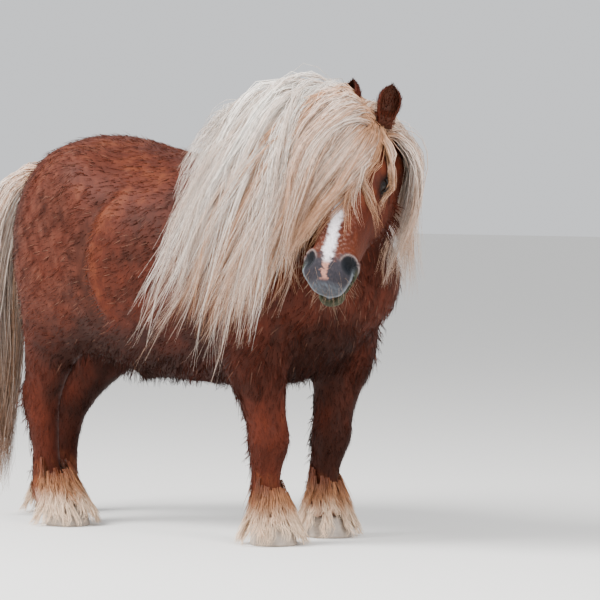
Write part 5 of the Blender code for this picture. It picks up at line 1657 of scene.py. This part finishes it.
class PonyManeSettings(bpy.types.PropertyGroup):
    thickness: FloatProperty(name="Strand radius", description="Radius of a strand", default=0.00085, unit="LENGTH")
    strands: IntProperty(name="Strands", description="Strands in each lock of the mane", default=26, min=1)
    wave: FloatProperty(name="Wave", description="How far strands sway to the side", default=0.012, unit="LENGTH")


class PonyStageSettings(bpy.types.PropertyGroup):
    sky: FloatProperty(name="Sky light", description="Strength of the even light from all round", default=0.95, min=0)
    key: FloatProperty(name="Key light", description="Power of the large lamp above", default=760.0, unit="POWER")
    paper: FloatVectorProperty(name="Background", description="Tint of the even light", default=(0.95, 0.97, 1.0), subtype="COLOR")


class PonyOperator:
    bl_options = {"REGISTER", "UNDO"}


def ride(made, slot, *nodes):
    """The piece moves with the pony and stands for the nodes named, which it hides. The slot is not used."""
    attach(made, "root")
    if nodes:
        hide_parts(*nodes)


class PONY_OT_skin(PonyOperator, bpy.types.Operator):
    """Make the skin and the ears that the coat grows on"""

    bl_idname = "pony.skin"
    bl_label = "Skin and Ears"

    def execute(self, context):
        skin = build_skin()
        ears = [build_ear(side) for side in (-1, 1)]
        made_of(skin, material_of("pony_hide", skin_material))
        ear_skin = joined(ears, "ear_skin")
        ear_skin.data.shade_smooth()
        made_of(ear_skin, material_of("pony_hide", skin_material))
        flesh_nodes = ["torso", "neck", "head", "tail"] + [name.replace("_", "_leg_", 1) for name in HOOF_PLACES]
        ride(skin, "coat", *flesh_nodes)
        ride(ear_skin, "coat", "ear_left", "ear_right")
        return {"FINISHED"}


class PONY_OT_eyes(PonyOperator, bpy.types.Operator):
    """Make the eyeballs and their lids"""

    bl_idname = "pony.eyes"
    bl_label = "Eyes and Lids"

    def execute(self, context):
        for side, word in ((-1, "right"), (1, "left")):
            ride(made_of(build_eye(side), material_of("eye_wet", eye_material)), "eye", "eye_" + word)
        ride(made_of(build_lids(), material_of("eyelid_skin", lid_material)), "coat")
        return {"FINISHED"}


class PONY_OT_hooves(PonyOperator, bpy.types.Operator):
    """Make the four hooves"""

    bl_idname = "pony.hooves"
    bl_label = "Hooves"

    def execute(self, context):
        for name in HOOF_PLACES:
            ride(made_of(build_hoof(name), material_of("hoof_horn_matt", horn_material)), "horn", "hoof_" + name)
        return {"FINISHED"}


class PONY_OT_coat(PonyOperator, bpy.types.Operator):
    """Lay the short coat over the skin and ears as tufts"""

    bl_idname = "pony.coat"
    bl_label = "Short Coat"

    def execute(self, context):
        settings = context.scene.pony_coat
        tree = tuft_tree()
        rng = np.random.default_rng(11)
        places, outs = spread_points(bpy.data.objects["skin"].data, coat_cover, tuft_density, settings.tufts, rng)
        order = np.argsort(places[:, 0], kind="stable")
        share = 16000
        for part, start in enumerate(range(0, len(order), share)):
            pick = order[start : start + share]
            made = coat_points("coat", places[pick], outs[pick], rng, settings.stand, settings.slimness)
            hair = material_of("chestnut_hair", chestnut_hair_material)
            grown_mesh(made, tree, "coat_%d" % part, hair, Thickness=settings.thickness)
            ride(made, "coat")
        self.ears(tree, rng)
        return {"FINISHED"}

    def ears(self, tree, rng):
        """Short hair on the ears, lying towards their tips."""
        places, outs = spread_points(bpy.data.objects["ear_skin"].data, ear_density, ear_density, 2200, rng)
        side = np.where(in_head(places)[:, 1] > 0, 1, -1)
        axes = {s: ear_frame(s) for s in (-1, 1)}
        way = np.array([axes[s][1] for s in side])
        height = np.array([(p - axes[s][0]) @ axes[s][1] / EAR_LENGTH for p, s in zip(places, side)])
        way = unit(way - outs * (way * outs).sum(1, keepdims=True) + outs * 0.25 + rng.normal(0, 0.12, places.shape))
        long = (0.013 - 0.006 * smooth_step(0.2, 0.9, height)) * rng.uniform(0.7, 1.2, len(places))
        colour = over(np.tile(CHESTNUT, (len(places), 1)), smooth_step(0.6, 1.0, height) * 0.7, CHESTNUT_DARK * 0.5)
        colour = colour * rng.uniform(0.7, 1.25, (len(places), 1))
        made = new_object("ear coat", places - outs * 0.001 + way * long[:, None] * 0.5)
        set_attribute(made.data, "lie", "FLOAT_VECTOR", way)
        set_attribute(made.data, "out", "FLOAT_VECTOR", outs)
        wide = np.full(len(places), 0.0014)
        set_attribute(made.data, "size", "FLOAT_VECTOR", np.stack([wide, wide, long], 1))
        set_attribute(made.data, "tint", "FLOAT_COLOR", np.clip(colour, 0, 1))
        place = np.stack([0.70 + 0.12 * (side > 0), 0.40 + 0.05 * height, 0 * height], 1)
        set_attribute(made.data, "bake", "FLOAT_VECTOR", place)
        grown_mesh(made, tree, "coat_ears", material_of("chestnut_hair", chestnut_hair_material))
        ride(made, "coat")


def ear_density(points):
    return np.ones(len(points))


def bake_row(lines, row, rows=8):
    """A place on the unwrap for each strand, at its root's share along the crest, tail or foot."""
    count = len(lines)
    return np.stack([0.02 + 0.96 * (np.arange(count) + 0.5) / count, np.full(count, 0.97 - 0.03 * row / rows)], 1)


class PONY_OT_mane(PonyOperator, bpy.types.Operator):
    """Make the mane on both sides of the neck"""

    bl_idname = "pony.mane"
    bl_label = "Mane"

    def execute(self, context):
        settings = context.scene.pony_mane
        tree = strand_tree()
        rng = np.random.default_rng(21)
        layers = [
            ("under", -1, 50, 0.016, 0.90, 0.22, 0.90),
            ("middle", -1, 62, 0.036, 1.00, 0.40, 0.45),
            ("top", -1, 68, 0.062, 0.98, 0.68, 0.10),
            ("far", 1, 40, 0.022, 0.95, 0.20, 0.55),
        ]
        for row, (word, side, count, lift, reach, rise, tan) in enumerate(layers):
            lines, outs = mane_guides(side, count, lift, reach, rise, rng)
            self.grow(settings, tree, "mane_" + word, row, lines, outs, tan, rng)
        for row, (word, guides, count, tan) in enumerate(
            [("front", front_guides, 82, 0.78), ("curtain", curtain_guides, 40, 0.45), ("blown", blown_guides, 7, 0.05)]
        ):
            lines, outs = guides(count, rng)
            self.grow(settings, tree, "mane_" + word, 5 + row, lines, outs, tan, rng)
        return {"FINISHED"}

    def grow(self, settings, tree, name, row, lines, outs, tan, rng):
        per = settings.strands
        strands = strands_of(lines, outs, per, rng, 0.006, 0.013, 0.007, 0.6, settings.wave, 0.10)
        tints = flaxen_tints(len(strands), strands.shape[1], rng, np.full(len(strands), tan), per)
        radii = settings.thickness * rng.uniform(0.7, 1.2, len(strands))
        made = strand_object("mane", strands, radii, tints, bake_row(strands, row))
        grown_mesh(made, tree, name, material_of("flaxen_hair", flaxen_hair_material))
        ride(made, "mane_hair")


class PONY_OT_forelock(PonyOperator, bpy.types.Operator):
    """Make the forelock, swept across the forehead"""

    bl_idname = "pony.forelock"
    bl_label = "Forelock"

    def execute(self, context):
        settings = context.scene.pony_mane
        rng = np.random.default_rng(31)
        count = 66
        shares = (np.arange(count) + rng.uniform(0.1, 0.9, count)) / count
        shares = np.clip(shares * 1.02, 0, 1)
        starts = np.array([on_head((-0.014 + 0.014 * s, -0.022 + 0.062 * s, -0.028)) for s in shares])
        starts = starts + rng.normal(0, 0.004, (count, 3))
        rows = by_share(FORELOCK, shares)
        tips = np.array([on_head(tip) for tip in rows[:, :3]]) + rng.normal(0, 0.012, (count, 3))
        ways = rows[:, 3:6] @ HEAD_AXES.T + rng.normal(0, 0.08, (count, 3))
        bow = rows[:, 6:] @ HEAD_AXES.T
        lifts = rng.uniform(0.006, 0.036, count) * np.interp(shares, [0.7, 0.93, 0.94, 1], [1, 0.8, 0.2, 0.2])
        rise = np.interp(shares, [0, 0.5, 0.92, 1], [0.26, 0.32, 0.44, 0.46]) * rng.uniform(0.85, 1.15, count)
        lines, outs = lay_lines(starts, ways, tips, lifts, rise, face_room, 9, 0.05, bow)
        per = 28
        strands = strands_of(lines, outs, per, rng, 0.006, 0.011, 0.005, 0.5, 0.008, 0.08)
        tan = np.repeat(np.clip(1.00 - lifts * 9, 0.1, 1), per)
        tints = flaxen_tints(len(strands), strands.shape[1], rng, tan, per)
        radii = settings.thickness * 0.9 * rng.uniform(0.75, 1.2, len(strands))
        made = strand_object("forelock", strands, radii, tints, bake_row(strands, 4))
        tree = bpy.data.node_groups["hair strands"]
        grown_mesh(made, tree, "forelock", material_of("flaxen_hair", flaxen_hair_material))
        ride(made, "mane_hair")
        return {"FINISHED"}


TAIL_LINE = [
    (-0.590, 0.000, 0.900, 0.022, 0.022),
    (-0.640, -0.006, 0.885, 0.045, 0.036),
    (-0.690, -0.024, 0.800, 0.066, 0.046),
    (-0.712, -0.045, 0.640, 0.080, 0.052),
    (-0.712, -0.062, 0.460, 0.086, 0.052),
    (-0.700, -0.074, 0.270, 0.074, 0.044),
    (-0.685, -0.082, 0.120, 0.045, 0.030),
    (-0.672, -0.086, 0.050, 0.014, 0.012),
]


class PONY_OT_tail(PonyOperator, bpy.types.Operator):
    """Make the long hair of the tail"""

    bl_idname = "pony.tail"
    bl_label = "Tail"

    def execute(self, context):
        settings = context.scene.pony_mane
        rng = np.random.default_rng(41)
        rows = smooth_rows(TAIL_LINE, 9)[::7]
        ways = unit(np.gradient(rows[:, :3], axis=0))
        side = np.array([0.25, 1.0, 0.0])
        across = unit(side - ways * (ways @ side)[:, None])
        deep = np.cross(ways, across)
        count, per = 76, 26
        turns = rng.uniform(0, 2 * math.pi, count)
        inward = np.sqrt(rng.uniform(0.15, 1.0, count)) * 0.92
        size = np.interp(np.linspace(0, 1, len(rows)), [0, 0.15, 1], [0.5, 0.95, 1.0])
        a = np.cos(turns)[:, None] * inward[:, None] * rows[:, 3] * size
        b = np.sin(turns)[:, None] * inward[:, None] * rows[:, 4] * size
        lines = rows[None, :, :3] + across[None] * a[..., None] + deep[None] * b[..., None]
        outs = unit(across[None] * (np.cos(turns)[:, None] / rows[:, 3])[..., None] + deep[None] * (np.sin(turns)[:, None] / rows[:, 4])[..., None])
        lines[:, :, 2] += (lines[:, :1, 2] - lines[:, :, 2]) * rng.uniform(0.0, 0.18, (count, 1))
        strands = strands_of(lines, outs, per, rng, 0.008, 0.014, 0.009, 0.8, 0.012, 0.08)
        strands[..., 2] = np.maximum(strands[..., 2], 0.012)
        share = np.linspace(0, 1, strands.shape[1])
        tint = flaxen_tints(len(strands), strands.shape[1], rng, np.full(len(strands), 0.45), per)
        brown = np.clip(share * 1.6 - 0.40, 0, 0.9)[None, :, None] * rng.uniform(0.6, 1.1, (len(strands), 1, 1))
        tint = tint + (FLAXEN_BROWN - tint) * np.clip(brown, 0, 1)
        radii = settings.thickness * 1.1 * rng.uniform(0.75, 1.25, len(strands))
        made = strand_object("tail", strands, radii, tint, bake_row(strands, 5))
        tree = bpy.data.node_groups["hair strands"]
        grown_mesh(made, tree, "tail_hair", material_of("flaxen_hair", flaxen_hair_material))
        ride(made, "tail_hair")
        return {"FINISHED"}


class PONY_OT_feather(PonyOperator, bpy.types.Operator):
    """Make the long hair over the hooves"""

    bl_idname = "pony.feather"
    bl_label = "Feather"

    def execute(self, context):
        rng = np.random.default_rng(51)
        for kind in ("fore", "hind"):
            made = [feather_strands(name, rng) for name in HOOF_PLACES if name.startswith(kind)]
            strands = np.concatenate([each[0] for each in made])
            tints = np.concatenate([each[1] for each in made])
            radii = context.scene.pony_mane.thickness * rng.uniform(0.8, 1.3, len(strands))
            made = strand_object("feather", strands, radii, tints, bake_row(strands, 6))
            tree = bpy.data.node_groups["hair strands"]
            grown_mesh(made, tree, "feather_" + kind, material_of("flaxen_hair", flaxen_hair_material))
            ride(made, "coat")
        return {"FINISHED"}


def feather_strands(name, rng, count=155, per=12):
    """The long hair over one hoof in wavy locks, brown at the fetlock and cream at its tips."""
    x, y = HOOF_PLACES[name]
    share = np.linspace(0, 1, 5)
    turns = rng.uniform(0, 2 * math.pi, count)
    back = 0.5 - 0.5 * np.cos(turns)
    high = 0.048 + (0.095 + 0.050 * back) * rng.uniform(0, 1, count) ** 0.8
    low = np.maximum(high - rng.uniform(0.055, 0.085, count) - 0.012 * back, rng.uniform(-0.014, 0.006, count))
    z = high[:, None] + (low - high)[:, None] * share
    middle = np.interp(z, [0.05, 0.12, 0.20], [x - 0.006, *LEG_LINES[name][:-4:-1][1:]])
    radius = np.interp(z, [-0.014, 0.02, 0.05, 0.09, 0.13, 0.20], [0.088, 0.081, 0.069, 0.055, 0.046, 0.040])
    radius = radius + share * (0.005 * back + rng.uniform(-0.004, 0.006, count))[:, None] - 0.008 * (1 - share)
    turn = turns[:, None] + rng.normal(0, 0.16, (count, 1)) * share
    lines = np.stack([middle + radius * np.cos(turn), y + radius * np.sin(turn), z], 2)
    outs = np.stack([np.cos(turn), np.sin(turn), 0.2 + 0 * turn], 2)
    strands = strands_of(lines, unit(outs), per, rng, 0.005, 0.0075, 0.0055, 0.5, 0.006)
    strands[..., 2] = np.maximum(strands[..., 2], 0.002)
    tall = strands[..., 2] + 0.016 * rough(strands[:, 0], 0.05, 61)[:, None]
    tint = over(np.tile(CHESTNUT_BRIGHT, (tall.size, 1)), smooth_step(0.155, 0.080, tall.ravel()), linear("#A8744E"))
    tint = over(tint, smooth_step(0.100, 0.045, tall.ravel()) * 0.95, linear("#F0D2B4"))
    return strands, tint.reshape(*tall.shape, 3) * rng.uniform(0.65, 1.15, (len(strands), 1, 1))


def fringe_length(points, outs):
    """How long the shaggy hair hangs at each point: belly, elbows, chest, throat, chin and backs of the legs."""
    x, y, z = points.T
    local = in_head(points)
    on = head_share(points)
    below = smooth_step(-0.35, -0.85, outs[:, 2])
    belly = 0.038 * below * smooth_step(0.60, 0.50, z) * smooth_step(0.36, 0.42, z) * smooth_step(-0.60, -0.40, x)
    chest = 0.036 * smooth_step(0.60, 0.50, z) * smooth_step(0.40, 0.46, z) * smooth_step(0.18, 0.30, x) * (1 - on)
    cannon = 0.024 * smooth_step(0.40, 0.32, z) * smooth_step(0.10, 0.16, z) * smooth_step(0.15, -0.5, outs[:, 0])
    chin = 0.040 * on * smooth_step(-0.115, -0.135, local[:, 2]) * smooth_step(0.10, 0.16, local[:, 0])
    return np.maximum.reduce([belly, chest, cannon, chin])


def fringe_density(points):
    return smooth_step(0.62, 0.50, points[:, 2]) + 3 * head_share(points)


class PONY_OT_fringe(PonyOperator, bpy.types.Operator):
    """Make the shaggy hair that hangs from the belly, chest, chin and backs of the legs"""

    bl_idname = "pony.fringe"
    bl_label = "Fringe"

    def execute(self, context):
        settings = context.scene.pony_mane
        rng = np.random.default_rng(61)
        places, outs = spread_points(bpy.data.objects["skin"].data, coat_cover, fringe_density, 14000, rng)
        long = fringe_length(places, outs)
        pick = rng.permutation(np.flatnonzero(long > 0.012))[:820]
        places, outs, long = places[pick], outs[pick], long[pick]
        share = np.linspace(0, 1, 5)
        down = unit(np.array([-0.15, 0, -1.0]) + outs * 0.45 + rng.normal(0, 0.22, places.shape))
        away = outs[:, None] * (0.010 * np.sin(share * 2.2) - 0.002)[None, :, None]
        long = long * rng.uniform(0.6, 1.3, len(long))
        lines = places[:, None] + down[:, None] * (long[:, None] * share)[..., None] + away
        lines[..., 2] = np.maximum(lines[..., 2], 0.01)
        per = 4
        across = np.repeat(outs[:, None], 5, 1)
        strands = strands_of(lines, across, per, rng, 0.004, 0.0060, 0.0035, 0.6, 0.005)
        colour = coat_colour(places, outs) * rng.uniform(0.6, 1.2, (len(places), 1))
        tints = np.repeat(np.repeat(colour, per, 0)[:, None], 5, 1) * rng.uniform(0.8, 1.4, (len(strands), 1, 1))
        radii = settings.thickness * rng.uniform(0.5, 0.8, len(strands))
        made = strand_object("fringe", strands, radii, tints, np.repeat(bake_place(places), per, 0))
        tree = bpy.data.node_groups["hair strands"]
        grown_mesh(made, tree, "fringe", material_of("chestnut_hair", chestnut_hair_material))
        ride(made, "coat")
        return {"FINISHED"}


def whisker_cover(points):
    """1 on the lips, chin and the sides of the muzzle, where the long stiff hairs grow."""
    local = in_head(points)
    rim = np.minimum(nostril_oval(local), nostril_oval(local * (1, -1, 1)))
    return head_share(points) * smooth_step(0.33, 0.37, local[:, 0]) * smooth_step(0.1, 0.3, rim)


def lashes(side, rng, count=34):
    """Roots and ways of the upper lashes of one eye, in a fan along the lid."""
    centre, slit, up, out = eye_frame(side)
    turns = np.radians(np.linspace(-60, 60, count))[:, None]
    rise = np.radians(34) * np.cos(turns) ** 0.8
    ways = unit(slit * np.sin(turns) + np.cos(turns) * (out * np.cos(rise) + up * np.sin(rise)))
    return centre + ways * (EYE_RADIUS + 0.003), unit(ways + 0.25 * up + rng.normal(0, 0.08, ways.shape))


class PONY_OT_whiskers(PonyOperator, bpy.types.Operator):
    """Make the whiskers round the lips and the lashes of both eyes"""

    bl_idname = "pony.whiskers"
    bl_label = "Whiskers and Lashes"

    def execute(self, context):
        rng = np.random.default_rng(71)
        places, outs = spread_points(bpy.data.objects["skin"].data, whisker_cover, whisker_cover, 110, rng)
        down = HEAD_AXES @ np.array([0.40, 0.0, -0.45])
        ways = unit(outs * 0.8 + down + rng.normal(0, 0.35, places.shape))
        fans = [lashes(side, rng) for side in (-1, 1)]
        roots = np.vstack([places - outs * 0.001, *[fan[0] for fan in fans]])
        ways = np.vstack([ways, *[fan[1] for fan in fans]])
        is_lash = np.arange(len(roots)) >= len(places)
        long = np.where(is_lash, rng.uniform(0.010, 0.016, len(roots)), rng.uniform(0.015, 0.045, len(roots)))
        share = np.linspace(0, 1, 5)
        lines = roots[:, None] + ways[:, None] * (long[:, None] * share)[..., None]
        lines += down * (long[:, None] * share**2 * 0.3)[..., None]
        colour = np.where(is_lash[:, None], linear("#0B0705"), linear("#8E7460") * rng.uniform(0.3, 1.4, (len(roots), 1)))
        radii = np.where(is_lash, 0.00045, 0.00024)
        made = strand_object("whiskers", lines, radii, np.repeat(colour[:, None], 5, 1), bake_place(roots))
        tree = bpy.data.node_groups["hair strands"]
        grown_mesh(made, tree, "whiskers", material_of("chestnut_hair", chestnut_hair_material))
        ride(made, "coat")
        return {"FINISHED"}


class PONY_OT_stage(PonyOperator, bpy.types.Operator):
    """Make the paper floor, the lamps and the camera"""

    bl_idname = "pony.stage"
    bl_label = "Stage"

    def execute(self, context):
        settings = context.scene.pony_stage
        self.floor()
        self.light(context, settings)
        self.camera(context)
        return {"FINISHED"}

    def floor(self):
        mesh = bpy.data.meshes.new("paper")
        mesh.from_pydata([(-30, -30, 0), (30, -30, 0), (30, 30, 0), (-30, 30, 0)], [], [(0, 1, 2, 3)])
        floor = bpy.data.objects.new("paper", mesh)
        bpy.context.scene.collection.objects.link(floor)
        made_of(floor, floor_material())

    def light(self, context, settings):
        world = bpy.data.worlds.new("studio")
        world.use_nodes = True
        sky = world.node_tree.nodes["Background"]
        sky.inputs["Color"].default_value = (*settings.paper, 1)
        sky.inputs["Strength"].default_value = settings.sky
        context.scene.world = world
        for spot, size, power in (((-1.5, -3.5, 4.2), 3.0, settings.key), ((4.5, -1.0, 2.8), 2.5, settings.key * 0.35)):
            lamp = bpy.data.lights.new("softbox", "AREA")
            lamp.shape = "DISK"
            lamp.size = size
            lamp.energy = power
            made = bpy.data.objects.new("softbox", lamp)
            made.location = spot
            made.rotation_mode = "QUATERNION"
            made.rotation_quaternion = (Vector((0, 0, 0.6)) - made.location).to_track_quat("-Z", "Y")
            context.scene.collection.objects.link(made)

    def camera(self, context):
        turn, rise, far = math.radians(45), math.radians(2), 10.0
        right = Vector((math.cos(turn), math.sin(turn), 0))
        look = Vector((-math.sin(turn) * math.cos(rise), math.cos(turn) * math.cos(rise), -math.sin(rise)))
        lens = bpy.data.cameras.new("photo view")
        lens.sensor_width = 36
        lens.lens = 240
        lens.clip_end = 100
        camera = bpy.data.objects.new("photo view", lens)
        camera.location = right * 0.2494 + Vector((0, 0, 0.579)) + Vector(SHIFT) - look * far
        camera.rotation_mode = "QUATERNION"
        camera.rotation_quaternion = look.to_track_quat("-Z", "Y")
        context.scene.collection.objects.link(camera)
        context.scene.camera = camera


class PONY_PT_panel(bpy.types.Panel):
    bl_idname = "PONY_PT_panel"
    bl_label = "Shetland Pony"
    bl_space_type = "VIEW_3D"
    bl_region_type = "UI"
    bl_category = "Pony"

    def draw(self, context):
        scene = context.scene
        for settings, names in (
            (scene.pony_coat, ("tufts", "stand", "slimness", "thickness")),
            (scene.pony_mane, ("thickness", "strands", "wave")),
            (scene.pony_stage, ("sky", "key", "paper")),
        ):
            for name in names:
                self.layout.prop(settings, name)
        for operator in OPERATORS:
            self.layout.operator(operator.bl_idname)


OPERATORS = (
    PONY_OT_skin,
    PONY_OT_eyes,
    PONY_OT_hooves,
    PONY_OT_coat,
    PONY_OT_mane,
    PONY_OT_forelock,
    PONY_OT_tail,
    PONY_OT_feather,
    PONY_OT_fringe,
    PONY_OT_whiskers,
    PONY_OT_stage,
)
CLASSES = (PonyCoatSettings, PonyManeSettings, PonyStageSettings, *OPERATORS, PONY_PT_panel)


def register():
    for item in CLASSES:
        bpy.utils.register_class(item)
    bpy.types.Scene.pony_coat = PointerProperty(type=PonyCoatSettings)
    bpy.types.Scene.pony_mane = PointerProperty(type=PonyManeSettings)
    bpy.types.Scene.pony_stage = PointerProperty(type=PonyStageSettings)


def unregister():
    del bpy.types.Scene.pony_stage
    del bpy.types.Scene.pony_mane
    del bpy.types.Scene.pony_coat
    for item in reversed(CLASSES):
        bpy.utils.unregister_class(item)


def main():
    """Makes every piece in order."""
    register()
    for operator in OPERATORS:
        group, name = operator.bl_idname.split(".")
        getattr(getattr(bpy.ops, group), name)()


if __name__ == "__main__":
    main()
